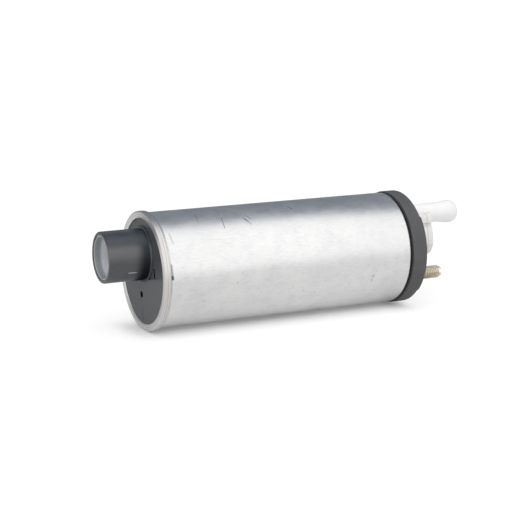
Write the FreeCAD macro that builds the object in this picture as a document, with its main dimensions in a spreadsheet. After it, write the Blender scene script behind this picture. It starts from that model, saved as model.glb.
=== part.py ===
import FreeCAD, Part
import math
import os

import Sketcher
from FreeCAD import Placement, Rotation, Vector

# Electric fuel pump, internal-gear kind, lying on its side. Millimetres.
# +X runs along the pump from inlet to outlet, +Z is up, and the origin is on the pump's axis at the
# middle of the tube. Each piece is drawn in the pump's own directions, x along the axis, "across" and
# "up", and is then rolled about the axis by the angle at which the pump came to lie.

SIZES = {
    # how it lies
    "roll_angle": 13,
    # aluminium tube
    "tube_radius": 21.5,
    "tube_wall": 1,
    "tube_length": 102.3,
    "rim_reach": 0.75,
    "rim_length": 2.7,
    "rim_cone": 0.3,
    "lip_thickness": 0.9,
    "front_lip_reach": 0.83,
    "rear_lip_reach": 0.7,
    "rolled_edge": 0.65,
    # clearances
    "nest_gap": 0.1,
    "press_gap": 0.01,
    "running_gap": 0.04,
    "side_gap": 0.03,
    "seat_gap": 0.05,
    # inlet cover
    "cover_edge_gap": 0.07,
    "inlet_flange_length": 7,
    "face_recess": 0.6,
    "chord_drop": 3.37,
    # inlet pipe
    "collar_reach": 0.95,
    "collar_height": 0.9,
    "collar_edge": 0.225,
    "inlet_offset": 6.35,
    "inlet_radius": 9.55,
    "inlet_reach": 16.38,
    "inlet_wall": 1.3,
    "inlet_edge": 0.5,
    "inlet_root_radius": 8.5,
    "inlet_root_length": 4,
    "screen_socket_depth": 9.6,
    "inlet_passage_radius": 7,
    # holes in the inlet cover
    "suction_recess_radius": 9,
    "suction_recess_across": 4.5,
    "suction_recess_up": 3,
    "suction_recess_depth": 1.5,
    "vent_radius": 1.25,
    "vent_across": 3.54,
    "vent_drop": 8.51,
    "slot_width": 0.8,
    "slot_length": 3.6,
    "slot_depth": 2,
    "slot_across": 9.75,
    "slot_up": 1.35,
    "mould_line_width": 0.3,
    "mould_line_across": 4.4,
    "mould_line_top": 13.2,
    "mould_line_edge": 1.6,
    # inlet screen
    "screen_tip_gap": 0.3,
    "screen_wall": 0.45,
    "screen_step": 0.4,
    "screen_mouth_depth": 3.1,
    "screen_land": 1.9,
    "screen_shoulder": 0.35,
    "screen_length": 9,
    "mesh_thickness": 0.25,
    "mesh_pitch": 1.2,
    "mesh_hole": 0.8,
    # seals between covers and tube
    "seal_wire": 1,
    "seal_groove_width": 2.3,
    "inlet_groove_start": 2.4,
    "outlet_groove_start": 1.5,
    # pump stack
    "inlet_plate_thickness": 5,
    "rotor_width": 9,
    "outlet_plate_thickness": 6,
    "suction_inner_radius": 6.9,
    "delivery_inner_radius": 7.7,
    "port_outer_radius": 10.9,
    "port_angle": 110,
    "dowel_radius": 1.2,
    "dowel_inset": 3.2,
    "dowel_overrun": 2,
    # gear rotors
    "inner_teeth": 6,
    "eccentricity": 1,
    "lobe_circle_radius": 10.6,
    "lobe_radius": 2.8,
    "tooth_gap": 0.05,
    "root_gap": 0.08,
    "outer_rotor_wall": 0.1,
    # coupling
    "pin_radius": 2.98,
    "coupling_rim": 0.2,
    "coupling_bore_gap": 0.2,
    "dog_count": 3,
    "dog_circle_radius": 4.55,
    "dog_radius": 0.85,
    "dog_length": 5,
    "dog_hole_gap": 0.1,
    "coupling_grip": 4,
    # bearings
    "shaft_radius": 3,
    "bush_radius": 4.6,
    "bush_length": 6,
    "bush_setback": 1,
    "shaft_overrun": 1,
    "pin_setback": 1,
    "bush_boss_radius": 7.5,
    "washer_radius": 5,
    "washer_thickness": 0.8,
    "washer_edge_gap": 0.2,
    # field
    "flux_wall": 1.5,
    "magnet_thickness": 3.8,
    "magnet_angle": 125,
    "magnet_start": 7,
    "clip_end_angle": 2,
    "clip_thickness": 0.6,
    "clip_height": 3.1,
    "clip_setback": 6,
    # armature
    "air_gap": 0.6,
    "core_setback": 3,
    "slot_count": 8,
    "slot_floor_radius": 7.2,
    "slot_body_width": 3.6,
    "slot_lip": 1.8,
    "slot_mouth_width": 1.8,
    "insulator_thickness": 1,
    "insulator_setback": 0.6,
    "winding_gap": 0.2,
    "winding_room": 1.25,
    "crown_length": 4.5,
    "crown_boss_gap": 0.7,
    "crown_setback": 1.6,
    "crown_round": 1.5,
    # commutator
    "commutator_radius": 7,
    "commutator_length": 10,
    "bar_thickness": 1.6,
    "bar_slit": 0.5,
    "bar_count": 8,
    "tang_radius": 8.2,
    "tang_length": 1.2,
    # brushes
    "brush_setback": 9,
    "brush_width": 5,
    "brush_height": 4.4,
    "brush_outer_end": 13,
    "brush_face_gap": 0.08,
    "brush_side_gap": 0.15,
    "box_wall": 1,
    "box_end_wall": 0.6,
    "box_start": 8.6,
    "box_gap": 0.7,
    "holder_disc_start": 3,
    "holder_disc_thickness": 2,
    "holder_bore_radius": 9.5,
    "holder_post_radius": 1.5,
    "holder_post_inset": 2.5,
    "holder_post_angle": 45,
    "brush_spring_radius": 1.6,
    "brush_spring_wire": 0.2,
    "brush_spring_turns": 4,
    # brush leads
    "lead_radius": 0.5,
    "lead_slot_width": 1.8,
    "lead_slot_travel": 2.8,
    "lead_inset": 1.5,
    "lead_drop": 6.5,
    "lead_knee": 1.4,
    "lead_hole_radius": 1.6,
    # outlet cover
    "outlet_flange_length": 6.25,
    "spigot_gap": 0.5,
    "spigot_length": 7.15,
    "turret_length": 13.15,
    "turret_top_half_width": 7,
    "turret_top": 12,
    "turret_top_round": 2.5,
    "turret_notch_top": 7.7,
    "turret_notch_bottom": 6.1,
    "turret_notch_half_width": 6,
    "turret_half_width": 6.45,
    "turret_centre_up": 1.85,
    "turret_cap": 2.15,
    "turret_cap_line": 0.4,
    "turret_cap_line_depth": 0.3,
    "turret_core_radius": 3.6,
    "core_pocket_radius": 4.6,
    "core_pocket_inset": 7.1,
    "core_pocket_up": 1.5,
    "core_pocket_depth": 11,
    # outlet nipple
    "nipple_seat_depth": 1,
    "outlet_up": 11.75,
    "outlet_radius": 3.95,
    "outlet_bore_radius": 2.6,
    "outlet_straight": 6.5,
    "barb_radius": 4.5,
    "barb_ramp": 3.95,
    "barb_land": 1.6,
    "barb_nose": 2.45,
    "barb_tip_radius": 3.4,
    # cushion ring
    "ring_reach": 0.45,
    "ring_gap": 0.92,
    "ring_length": 6.2,
    "ring_neck": 1.3,
    "ring_edge": 0.75,
    "ring_front_edge": 0.25,
    "ring_step": 0.5,
    "ring_top_gap_angle": 126,
    "ring_bottom_gap_angle": 67,
    # terminal studs
    "stud_inset": 4.40868,
    "stud_angle": 38.40142,
    "stud_positive_radius": 2.5,
    "stud_negative_radius": 2,
    "stud_shank_step": 0.2,
    "stud_reach": 12.8,
    "stud_head_radius": 3.6,
    "stud_head_length": 2,
    "stud_nose_length": 2.3,
    "stud_nose_step": 0.6,
    "stud_slot_width": 1.2,
    "stud_slot_depth": 1.3,
    "stud_seal_wire": 0.45,
    "stud_seal_depth": 1,
    # check valve
    "valve_chamber_radius": 4.2,
    "valve_chamber_wall": 0.4,
    "valve_seat_length": 3,
    "valve_seat_bore": 2.4,
    "valve_head_radius": 3.7,
    "valve_head_length": 1.3,
    "valve_seal_radius": 3.5,
    "valve_seal_bore": 2,
    "valve_seal_thickness": 0.8,
    "valve_stem_radius": 1.4,
    "valve_stem_length": 3.8,
    "valve_spring_radius": 3.25,
    "valve_spring_wire": 0.3,
    "valve_spring_turns": 5,
    # relief valve
    "relief_chamber_radius": 2,
    "relief_chamber_depth": 6.4,
    "relief_ball_radius": 1.6,
    "relief_seat_bore": 1.1,
    "relief_seat_length": 2.5,
    "relief_spring_radius": 1.25,
    "relief_spring_wire": 0.2,
    "relief_spring_turns": 4,
}

doc = FreeCAD.newDocument("ElectricFuelPump")
sheet = doc.addObject("Spreadsheet::Sheet", "Sizes")
for row, (alias, number) in enumerate(SIZES.items(), start=1):
    sheet.set(f"A{row}", alias)
    sheet.set(f"B{row}", str(number))
    sheet.setAlias(f"B{row}", alias)
doc.recompute()


class Size:
    """A size with its value now and the expression that keeps it tied to the sheet."""

    def __init__(self, value, text):
        self.value = value
        self.text = text

    def __add__(self, other):
        other = as_size(other)
        return Size(self.value + other.value, f"({self.text} + {other.text})")

    def __sub__(self, other):
        other = as_size(other)
        return Size(self.value - other.value, f"({self.text} - {other.text})")

    def __mul__(self, other):
        other = as_size(other)
        return Size(self.value * other.value, f"({self.text} * {other.text})")

    def __truediv__(self, other):
        other = as_size(other)
        return Size(self.value / other.value, f"({self.text} / {other.text})")

    def __neg__(self):
        return self * -1

    __radd__ = __add__

    def cos(self):
        return Size(math.cos(math.radians(self.value)), f"cos({self.text})")

    def sin(self):
        return Size(math.sin(math.radians(self.value)), f"sin({self.text})")


def as_size(number):
    """A plain number as a size, or the size itself."""
    return number if isinstance(number, Size) else Size(number, str(number))


class Sheet:
    """The sheet's cells as sizes, by their names."""

    def __getattr__(self, alias):
        return Size(float(sheet.get(alias)), f"Sizes.{alias}")


s = Sheet()
MARGIN = 1  # how far a cut runs past the faces that it goes through
RADIAN = 180 / math.pi  # degrees in a radian


def place(thing, x, across=0, up=0):
    """Set a piece at its station along the axis, and off the axis, rolled with the whole pump."""
    x, across, up = as_size(x), as_size(across), as_size(up)
    y = across * s.roll_angle.cos() + up * s.roll_angle.sin()
    z = up * s.roll_angle.cos() - across * s.roll_angle.sin()
    roll = Rotation(Vector(-1, 0, 0), s.roll_angle.value)
    thing.Placement = Placement(Vector(x.value, y.value, z.value), roll)
    thing.setExpression("Placement.Base.x", x.text)
    thing.setExpression("Placement.Base.y", y.text)
    thing.setExpression("Placement.Base.z", z.text)
    thing.setExpression("Placement.Rotation.Angle", s.roll_angle.text)


def new_body(label, x, across=0, up=0):
    body = doc.addObject("PartDesign::Body", label)
    body.Label = label
    body.AllowCompound = True
    place(body, x, across, up)
    return body


def origin_part(body, role):
    """The body's own origin plane or axis with that role."""
    return next(part for part in body.Origin.OriginFeatures if part.Role == role)


def hold(sketch, kind, corner, size):
    """Tie one coordinate of a sketch corner to its size."""
    size = as_size(size)
    if size.value == 0:
        axis = -2 if kind == "DistanceX" else -1
        sketch.addConstraint(Sketcher.Constraint("PointOnObject", corner, 1, axis))
        return
    index = sketch.addConstraint(Sketcher.Constraint(kind, -1, 1, corner, 1, size.value))
    sketch.setExpression(f"Constraints[{index}]", size.text)


def outline(body, name, corners, role):
    """Sketch a closed outline through (x, radius) corners."""
    sketch = body.newObject("Sketcher::SketchObject", name + "_outline")
    sketch.AttachmentSupport = [(origin_part(body, role), "")]
    sketch.MapMode = "FlatFace"
    points = [Vector(as_size(x).value, as_size(r).value, 0) for x, r in corners]
    for start, end in zip(points, points[1:] + points[:1]):
        sketch.addGeometry(Part.LineSegment(start, end), False)
    for corner, (x, r) in enumerate(corners):
        before = (corner - 1) % len(corners)
        sketch.addConstraint(Sketcher.Constraint("Coincident", before, 2, corner, 1))
        hold(sketch, "DistanceX", corner, x)
        hold(sketch, "DistanceY", corner, r)
    return sketch


def turn(body, name, corners, cut=False, angle=None, role="XY_Plane"):
    """Turn an outline about the body's X axis, or cut it out, all round or through an angle."""
    sketch = outline(body, name, corners, role)
    feature = body.newObject("PartDesign::Groove" if cut else "PartDesign::Revolution", name)
    feature.Profile = sketch
    feature.ReferenceAxis = (sketch, ["H_Axis"])
    if angle is not None:
        feature.Midplane = True
        feature.Angle = angle.value
        feature.setExpression("Angle", angle.text)
    return feature


def tube_corners(start, end, inner, outer):
    return [(start, inner), (start, outer), (end, outer), (end, inner)]


def lay_along(feature, body, start, across, up):
    """Stand a round primitive on its axis, which runs along X from the start."""
    start, across, up = as_size(start), as_size(across), as_size(up)
    feature.AttachmentSupport = [(origin_part(body, "YZ_Plane"), "")]
    feature.MapMode = "FlatFace"
    feature.AttachmentOffset = Placement(Vector(across.value, up.value, start.value), Rotation())
    feature.setExpression("AttachmentOffset.Base.x", across.text)
    feature.setExpression("AttachmentOffset.Base.y", up.text)
    feature.setExpression("AttachmentOffset.Base.z", start.text)


def bind(feature, **sizes):
    """Give each named property of a feature its size."""
    for name, size in sizes.items():
        size = as_size(size)
        setattr(feature, name, size.value)
        feature.setExpression(name, size.text)


def bar(body, name, radius, start, end, across=0, up=0, cut=False):
    """A round bar along X, or a round hole."""
    kind = "PartDesign::SubtractiveCylinder" if cut else "PartDesign::AdditiveCylinder"
    feature = body.newObject(kind, name)
    lay_along(feature, body, start, across, up)
    bind(feature, Radius=radius, Height=as_size(end) - start)
    return feature


def block(body, name, along, across, up, cut=False):
    """A block, or a square-cornered pocket, between two stations in each direction."""
    kind = "PartDesign::SubtractiveBox" if cut else "PartDesign::AdditiveBox"
    feature = body.newObject(kind, name)
    corner = [as_size(low) for low, high in (along, across, up)]
    feature.AttachmentSupport = [(origin_part(body, "XY_Plane"), "")]
    feature.MapMode = "FlatFace"
    feature.AttachmentOffset = Placement(Vector(*[low.value for low in corner]), Rotation())
    for direction, low in zip("xyz", corner):
        feature.setExpression(f"AttachmentOffset.Base.{direction}", low.text)
    spans = [as_size(high) - low for low, high in (along, across, up)]
    bind(feature, Length=spans[0], Width=spans[1], Height=spans[2])
    return feature


def repeat_round(body, name, features, count):
    """Repeat features round the body's X axis."""
    pattern = body.newObject("PartDesign::PolarPattern", name)
    pattern.Originals = features
    pattern.Axis = (origin_part(body, "X_Axis"), [""])
    pattern.Angle = 360
    count = as_size(count)
    pattern.Occurrences = int(count.value)
    pattern.setExpression("Occurrences", count.text)
    body.Tip = pattern
    return pattern


def near(value, size):
    return abs(value - as_size(size).value) < 0.005


def round_edges(body, name, radius, circles):
    """Round the circular edges at (x, radius) on the body's own axis."""
    doc.recompute()
    base = body.Tip
    picked = []
    for number, edge in enumerate(base.Shape.Edges, start=1):
        curve = edge.Curve
        if isinstance(curve, Part.Circle) and near(curve.Center.y, 0) and near(curve.Center.z, 0):
            for x, edge_radius in circles:
                if near(curve.Center.x, x) and near(curve.Radius, edge_radius):
                    picked.append(f"Edge{number}")
    feature = body.newObject("PartDesign::Fillet", name)
    feature.Base = (base, picked)
    bind(feature, Radius=radius)
    return feature


def ring_piece(label, x, length, inner, outer, across=0, up=0):
    """A plain turned ring on its own axis."""
    body = new_body(label, x, across, up)
    turn(body, label + "_ring", tube_corners(0, length, inner, outer))
    return body


def seal_ring(body, name, wire, centre_radius, start=0, across=0, up=0):
    """A rubber ring of round section about X."""
    feature = body.newObject("PartDesign::AdditiveTorus", name)
    lay_along(feature, body, start, across, up)
    bind(feature, Radius1=centre_radius, Radius2=wire)
    return feature


def shaped(label, shape, x, across=0, up=0):
    """A piece whose shape comes from a formula."""
    piece = doc.addObject("Part::Feature", label)
    piece.Label = label
    piece.Shape = shape
    place(piece, x, across, up)
    return piece


def mid_of_arc(start, control, end):
    """The middle point of the arc whose end tangents meet at the control point."""
    weight = (end - start).Length / (2 * (control - start).Length)
    return (start + control * (2 * weight) + end) * (1 / (2 + 2 * weight))


def coil(radius, wire, turns, start, end):
    """A spring wire wound from start to end: each quarter turn is two arcs that meet smoothly."""
    quarters = int(4 * turns)
    pitch_rate = (end - start).Length / (2 * math.pi * turns)
    slope = math.hypot(radius, pitch_rate)
    along = (end - start).normalize()
    first_side = Vector(0, 0, 1)
    second_side = along.cross(first_side)

    def point(angle):
        round_part = first_side * math.cos(angle) + second_side * math.sin(angle)
        return start + along * (pitch_rate * angle) + round_part * radius

    def heading(angle):
        round_part = second_side * math.cos(angle) - first_side * math.sin(angle)
        return (along * pitch_rate + round_part * radius) * (1 / slope)

    edges = []
    for quarter in range(quarters):
        angle_a = quarter * math.pi / 2
        angle_b = angle_a + math.pi / 2
        here, there = point(angle_a), point(angle_b)
        leave, arrive = heading(angle_a), heading(angle_b)
        chord = there - here
        spread = 2 * (1 - leave.dot(arrive))
        advance = chord.dot(leave + arrive)
        reach = (math.sqrt(advance ** 2 + spread * chord.dot(chord)) - advance) / spread
        first, second = here + leave * reach, there - arrive * reach
        joint = (first + second) * 0.5
        edges.append(Part.Arc(here, mid_of_arc(here, first, joint), joint).toShape())
        edges.append(Part.Arc(joint, mid_of_arc(joint, second, there), there).toShape())
    section = Part.Wire(Part.makeCircle(wire, point(0), heading(0)))
    return Part.Wire(edges).makePipeShell([section], True, False)


# Stations along the axis, from the tube's ends inwards
tube_front = -s.tube_length / 2
tube_rear = s.tube_length / 2
stack_front = tube_front + s.rim_cone + s.lip_thickness
stack_rear = tube_rear - s.lip_thickness
inlet_plate_front = stack_front + s.inlet_flange_length
rotor_front = inlet_plate_front + s.inlet_plate_thickness
outlet_plate_front = rotor_front + s.rotor_width
motor_front = outlet_plate_front + s.outlet_plate_thickness
outlet_front = stack_rear - s.outlet_flange_length
commutator_front = outlet_front - s.brush_setback - s.commutator_length / 2
magnet_front = motor_front + s.magnet_start
core_front = magnet_front + s.core_setback
core_rear = (commutator_front - s.winding_room - s.crown_length - s.winding_gap
             - s.insulator_thickness)
core_length = core_rear - core_front
magnet_length = core_length + s.core_setback * 2

# Radii that nest in one another
tube_bore = s.tube_radius - s.tube_wall
front_lip = tube_bore - s.front_lip_reach
rear_lip = tube_bore - s.rear_lip_reach
nest_radius = tube_bore - s.nest_gap
flux_bore = nest_radius - s.flux_wall
magnet_outer = flux_bore - s.nest_gap
magnet_inner = magnet_outer - s.magnet_thickness
hub_bore = s.shaft_radius + s.press_gap
bush_bore = s.shaft_radius + s.running_gap
core_radius = magnet_inner - s.air_gap
dowel_across = nest_radius - s.dowel_inset
outer_rotor_radius = s.lobe_circle_radius + s.lobe_radius + s.outer_rotor_wall
collar_radius = s.inlet_radius + s.collar_reach
ring_radius = s.tube_radius + s.ring_reach
spigot_radius = rear_lip - s.spigot_gap
stud_circle = spigot_radius - s.stud_inset
stud_across = stud_circle * s.stud_angle.sin()
stud_drop = stud_circle * s.stud_angle.cos()


# Housing tube: drawn aluminium with a flanged rim in front, both ends rolled in over the covers
rim_radius = s.tube_radius + s.rim_reach
tube = new_body("housing_tube", tube_front)
turn(tube, "tube_wall_turned", [
    (s.rim_cone, front_lip),
    (0, rim_radius),
    (s.rim_length, rim_radius),
    (s.rim_length, s.tube_radius),
    (s.tube_length, s.tube_radius),
    (s.tube_length, rear_lip),
    (s.tube_length - s.lip_thickness, rear_lip),
    (s.tube_length - s.lip_thickness, tube_bore),
    (s.rim_cone + s.lip_thickness, tube_bore),
    (s.rim_cone + s.lip_thickness, front_lip),
])
round_edges(tube, "rim_edges", s.rim_reach / 2, [(0, rim_radius), (s.rim_length, rim_radius)])
round_edges(tube, "rear_rolled_edge", s.rolled_edge, [(s.tube_length, s.tube_radius)])


# Inlet cover: dark moulded disc. Its face has a raised lower segment, flush with the tube's lip, and the
# seat of the inlet pipe above the pump's axis. x = 0 is the shoulder that the lip holds.
face_radius = front_lip - s.cover_edge_gap
plateau = -s.lip_thickness
face = plateau + s.face_recess
inner_face = s.inlet_flange_length
seal_centre_radius = tube_bore - s.press_gap - s.seal_wire
groove_floor = seal_centre_radius - s.seal_wire - s.press_gap

cover = new_body("inlet_cover", stack_front)
turn(cover, "flange", [
    (face, 0),
    (face, face_radius),
    (0, face_radius),
    (0, nest_radius),
    (inner_face, nest_radius),
    (inner_face, 0),
])
bar(cover, "raised_face", face_radius, plateau, face)
block(cover, "upper_face", (plateau - MARGIN, face), (-s.tube_radius, s.tube_radius),
      (-s.chord_drop, s.tube_radius), cut=True)
bar(cover, "collar_seat", collar_radius + s.press_gap, plateau - MARGIN, face,
    up=s.inlet_offset, cut=True)
bar(cover, "pipe_seat", s.inlet_root_radius + s.press_gap, face - MARGIN, face + s.inlet_root_length,
    up=s.inlet_offset, cut=True)
bar(cover, "passage", s.inlet_passage_radius, face, inner_face + MARGIN,
    up=s.inlet_offset, cut=True)
bar(cover, "suction_recess", s.suction_recess_radius, inner_face - s.suction_recess_depth,
    inner_face + MARGIN, across=-s.suction_recess_across, up=s.suction_recess_up, cut=True)
bar(cover, "relief_chamber", s.relief_chamber_radius, inner_face - s.relief_chamber_depth,
    inner_face + MARGIN, across=s.vent_across, up=-s.vent_drop, cut=True)
bar(cover, "vent_hole", s.vent_radius, plateau - MARGIN, inner_face, across=s.vent_across,
    up=-s.vent_drop, cut=True)
block(cover, "face_slot", (face - MARGIN, face + s.slot_depth),
      (-s.slot_across - s.slot_width / 2, -s.slot_across + s.slot_width / 2),
      (-s.slot_up - s.slot_length / 2, -s.slot_up + s.slot_length / 2), cut=True)
block(cover, "mould_line", (plateau - MARGIN, plateau + s.mould_line_width),
      (s.mould_line_across - s.mould_line_width / 2, s.mould_line_across + s.mould_line_width / 2),
      (s.mould_line_edge - face_radius, -s.mould_line_top), cut=True)
turn(cover, "seal_groove", tube_corners(
    s.inlet_groove_start, s.inlet_groove_start + s.seal_groove_width, groove_floor,
    nest_radius + MARGIN), cut=True)
cover_dowel = bar(cover, "dowel_hole", s.dowel_radius + s.press_gap, inner_face - s.dowel_overrun,
                  inner_face + MARGIN, across=dowel_across, cut=True)
repeat_round(cover, "dowel_holes", [cover_dowel], 2)


# Inlet pipe: wide dark pipe with a collar, whose root is pushed into the cover. x = 0 is its open tip.
pipe_bore = s.inlet_radius - s.inlet_wall
root_end = s.inlet_reach + s.inlet_root_length
inlet_front = stack_front + face - s.inlet_reach
inlet_pipe = new_body("inlet_pipe", inlet_front, up=s.inlet_offset)
turn(inlet_pipe, "pipe_turned", [
    (0, pipe_bore),
    (0, s.inlet_radius),
    (s.inlet_reach - s.collar_height, s.inlet_radius),
    (s.inlet_reach - s.collar_height, collar_radius),
    (s.inlet_reach, collar_radius),
    (s.inlet_reach, s.inlet_root_radius),
    (root_end, s.inlet_root_radius),
    (root_end, s.inlet_passage_radius),
    (s.screen_socket_depth, s.inlet_passage_radius),
    (s.screen_socket_depth, pipe_bore),
])
round_edges(inlet_pipe, "pipe_tip_edge", s.inlet_edge, [(0, s.inlet_radius)])
round_edges(inlet_pipe, "collar_front_edge", s.collar_edge, [
    (s.inlet_reach - s.collar_height, collar_radius),
])


# Inlet screen: a white nylon sleeve in the pipe. A step inside it and a shoulder hold the mesh disc.
sleeve_outer = pipe_bore - s.seat_gap
sleeve_mouth = sleeve_outer - s.screen_wall
sleeve_land = sleeve_mouth - s.screen_step
mesh_start = s.screen_mouth_depth + s.screen_land
mesh_end = mesh_start + s.mesh_thickness
sleeve_front = inlet_front + s.screen_tip_gap
sleeve = new_body("inlet_screen_frame", sleeve_front, up=s.inlet_offset)
turn(sleeve, "sleeve", [
    (0, sleeve_mouth),
    (0, sleeve_outer),
    (s.screen_length, sleeve_outer),
    (s.screen_length, sleeve_land - s.screen_shoulder),
    (mesh_end, sleeve_land - s.screen_shoulder),
    (mesh_end, sleeve_land),
    (s.screen_mouth_depth, sleeve_land),
    (s.screen_mouth_depth, sleeve_mouth),
])


def mesh_disc(radius, thickness, pitch, hole):
    """A thin disc with square holes on a square pitch, wherever a whole hole fits."""
    disc = Part.Wire(Part.makeCircle(radius, Vector(0, 0, 0), Vector(1, 0, 0)))
    wires = [disc]
    steps = int(radius / pitch)
    for column in range(-steps, steps + 1):
        for line in range(-steps, steps + 1):
            low_y, low_z = column * pitch - hole / 2, line * pitch - hole / 2
            far_corner = math.hypot(abs(column) * pitch + hole / 2, abs(line) * pitch + hole / 2)
            if far_corner > radius - hole / 2:
                continue
            corners = [(low_y, low_z), (low_y + hole, low_z), (low_y + hole, low_z + hole),
                       (low_y, low_z + hole), (low_y, low_z)]
            wires.append(Part.makePolygon([Vector(0, y, z) for y, z in corners]))
    face_with_holes = Part.makeFace(wires, "Part::FaceMakerBullseye")
    return face_with_holes.extrude(Vector(thickness, 0, 0))


mesh_radius = sleeve_land - s.press_gap
shaped("inlet_screen_mesh",
       mesh_disc(mesh_radius.value, s.mesh_thickness.value, s.mesh_pitch.value, s.mesh_hole.value),
       sleeve_front + mesh_start, up=s.inlet_offset)


# Seals of the two covers: each lies in its cover's groove and touches the tube's bore
front_seal = new_body("inlet_cover_seal", stack_front + s.inlet_groove_start + s.seal_groove_width / 2)
seal_ring(front_seal, "inlet_seal_ring", s.seal_wire, seal_centre_radius)


# Pump inlet plate: suction kidney on the near side, pocket for the relief valve's seat
inlet_plate = new_body("pump_inlet_plate", inlet_plate_front)
turn(inlet_plate, "inlet_plate_disc", tube_corners(0, s.inlet_plate_thickness,
                                                   s.pin_radius + s.press_gap, nest_radius))
turn(inlet_plate, "suction_kidney", tube_corners(
    -MARGIN, s.inlet_plate_thickness + MARGIN, -s.suction_inner_radius, -s.port_outer_radius),
     cut=True, angle=s.port_angle)
relief_seat_radius = s.relief_chamber_radius - s.seat_gap
bar(inlet_plate, "relief_seat_pocket", relief_seat_radius, -MARGIN, s.relief_seat_length,
    across=s.vent_across, up=-s.vent_drop, cut=True)
bar(inlet_plate, "relief_port", s.relief_seat_bore, 0, s.inlet_plate_thickness + MARGIN,
    across=s.vent_across, up=-s.vent_drop, cut=True)
inlet_dowel = bar(inlet_plate, "inlet_plate_dowel_hole", s.dowel_radius + s.press_gap, -MARGIN,
                  s.inlet_plate_thickness + MARGIN, across=dowel_across, cut=True)
repeat_round(inlet_plate, "inlet_plate_dowel_holes", [inlet_dowel], 2)


# Pump cam ring: its bore is off the pump's axis by the gears' eccentricity
cam_ring = new_body("pump_cam_ring", rotor_front)
bar(cam_ring, "cam_disc", nest_radius, 0, s.rotor_width)
bar(cam_ring, "cam_bore", outer_rotor_radius + s.running_gap, -MARGIN, s.rotor_width + MARGIN,
    up=s.eccentricity, cut=True)
cam_dowel = bar(cam_ring, "cam_dowel_hole", s.dowel_radius + s.press_gap, -MARGIN,
                s.rotor_width + MARGIN, across=dowel_across, cut=True)
repeat_round(cam_ring, "cam_dowel_holes", [cam_dowel], 2)


# Outer rotor: a ring whose bore carries one more round lobe than the inner rotor has teeth
rotor_length = s.rotor_width - s.side_gap * 2
lobe_tip = s.lobe_circle_radius - s.lobe_radius
lobe_count = s.inner_teeth + 1
outer_rotor = new_body("outer_rotor", rotor_front + s.side_gap, up=s.eccentricity)
turn(outer_rotor, "outer_rotor_ring", tube_corners(
    0, rotor_length, lobe_tip + s.eccentricity * 2 + s.root_gap, outer_rotor_radius))
lobe = bar(outer_rotor, "lobe", s.lobe_radius, 0, rotor_length, up=-s.lobe_circle_radius)
repeat_round(outer_rotor, "lobes", [lobe], lobe_count)


ARC_STEPS = 20  # steps along each tooth, two to an arc


def inner_rotor_shape(length):
    """The tooth curve is the path of the outer rotor's lobe centres, drawn in by the lobe's radius."""
    teeth = s.inner_teeth.value
    ratio = teeth + 1
    centre_radius, eccentric = s.lobe_circle_radius.value, s.eccentricity.value
    inset = s.lobe_radius.value + s.tooth_gap.value
    samples = int(teeth * ARC_STEPS)
    points = []
    for sample in range(samples + 1):
        angle = 2 * math.pi * sample / samples
        path_a = centre_radius * math.cos(angle) - eccentric * math.cos(ratio * angle)
        path_b = centre_radius * math.sin(angle) - eccentric * math.sin(ratio * angle)
        speed_a = -centre_radius * math.sin(angle) + ratio * eccentric * math.sin(ratio * angle)
        speed_b = centre_radius * math.cos(angle) - ratio * eccentric * math.cos(ratio * angle)
        speed = math.hypot(speed_a, speed_b)
        tooth_a = path_a - inset * speed_b / speed
        tooth_b = path_b + inset * speed_a / speed
        points.append(Vector(0, tooth_b, -tooth_a))
    arcs = [Part.Arc(*points[first:first + 3]).toShape() for first in range(0, samples, 2)]
    gear = Part.Face(Part.Wire(arcs)).extrude(Vector(length, 0, 0))
    start, along = -MARGIN, Vector(1, 0, 0)
    through = length + 2 * MARGIN
    bore = s.pin_radius.value + s.running_gap.value
    gear = gear.cut(Part.makeCylinder(bore, through, Vector(start, 0, 0), along))
    dogs = int(s.dog_count.value)
    for dog in range(dogs):
        angle = 2 * math.pi * dog / dogs
        centre = Vector(start, s.dog_circle_radius.value * math.cos(angle),
                        s.dog_circle_radius.value * math.sin(angle))
        gear = gear.cut(Part.makeCylinder(s.dog_radius.value + s.dog_hole_gap.value, through, centre, along))
    return gear


# Inner rotor: runs on the fixed pin and is driven by the coupling's dogs
shaped("inner_rotor", inner_rotor_shape(rotor_length.value), rotor_front + s.side_gap)


# Rotor pin: pressed into the inlet plate, carries the inner rotor
pin = new_body("rotor_pin", inlet_plate_front)
pin_end = s.inlet_plate_thickness + s.rotor_width - s.pin_setback
bar(pin, "pin_bar", s.pin_radius, s.side_gap, pin_end)


# Pump outlet plate: delivery kidney, room for the coupling, and a boss for the front bush
outlet_plate = new_body("pump_outlet_plate", outlet_plate_front)
coupling_radius = s.dog_circle_radius + s.dog_radius + s.coupling_rim
coupling_room = coupling_radius + s.coupling_bore_gap
bush_seat_end = s.outlet_plate_thickness + s.bush_length
bush_outer = s.bush_radius + s.press_gap
turn(outlet_plate, "outlet_plate_disc", [
    (0, coupling_room),
    (0, nest_radius),
    (s.outlet_plate_thickness, nest_radius),
    (s.outlet_plate_thickness, s.bush_boss_radius),
    (bush_seat_end, s.bush_boss_radius),
    (bush_seat_end, bush_outer),
    (s.outlet_plate_thickness, bush_outer),
    (s.outlet_plate_thickness, coupling_room),
])
turn(outlet_plate, "delivery_kidney", tube_corners(
    -MARGIN, s.outlet_plate_thickness + MARGIN, s.delivery_inner_radius, s.port_outer_radius),
     cut=True, angle=s.port_angle)
outlet_dowel = bar(outlet_plate, "outlet_plate_dowel_hole", s.dowel_radius + s.press_gap, -MARGIN,
                   s.outlet_plate_thickness + MARGIN, across=dowel_across, cut=True)
repeat_round(outlet_plate, "outlet_plate_dowel_holes", [outlet_dowel], 2)


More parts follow.
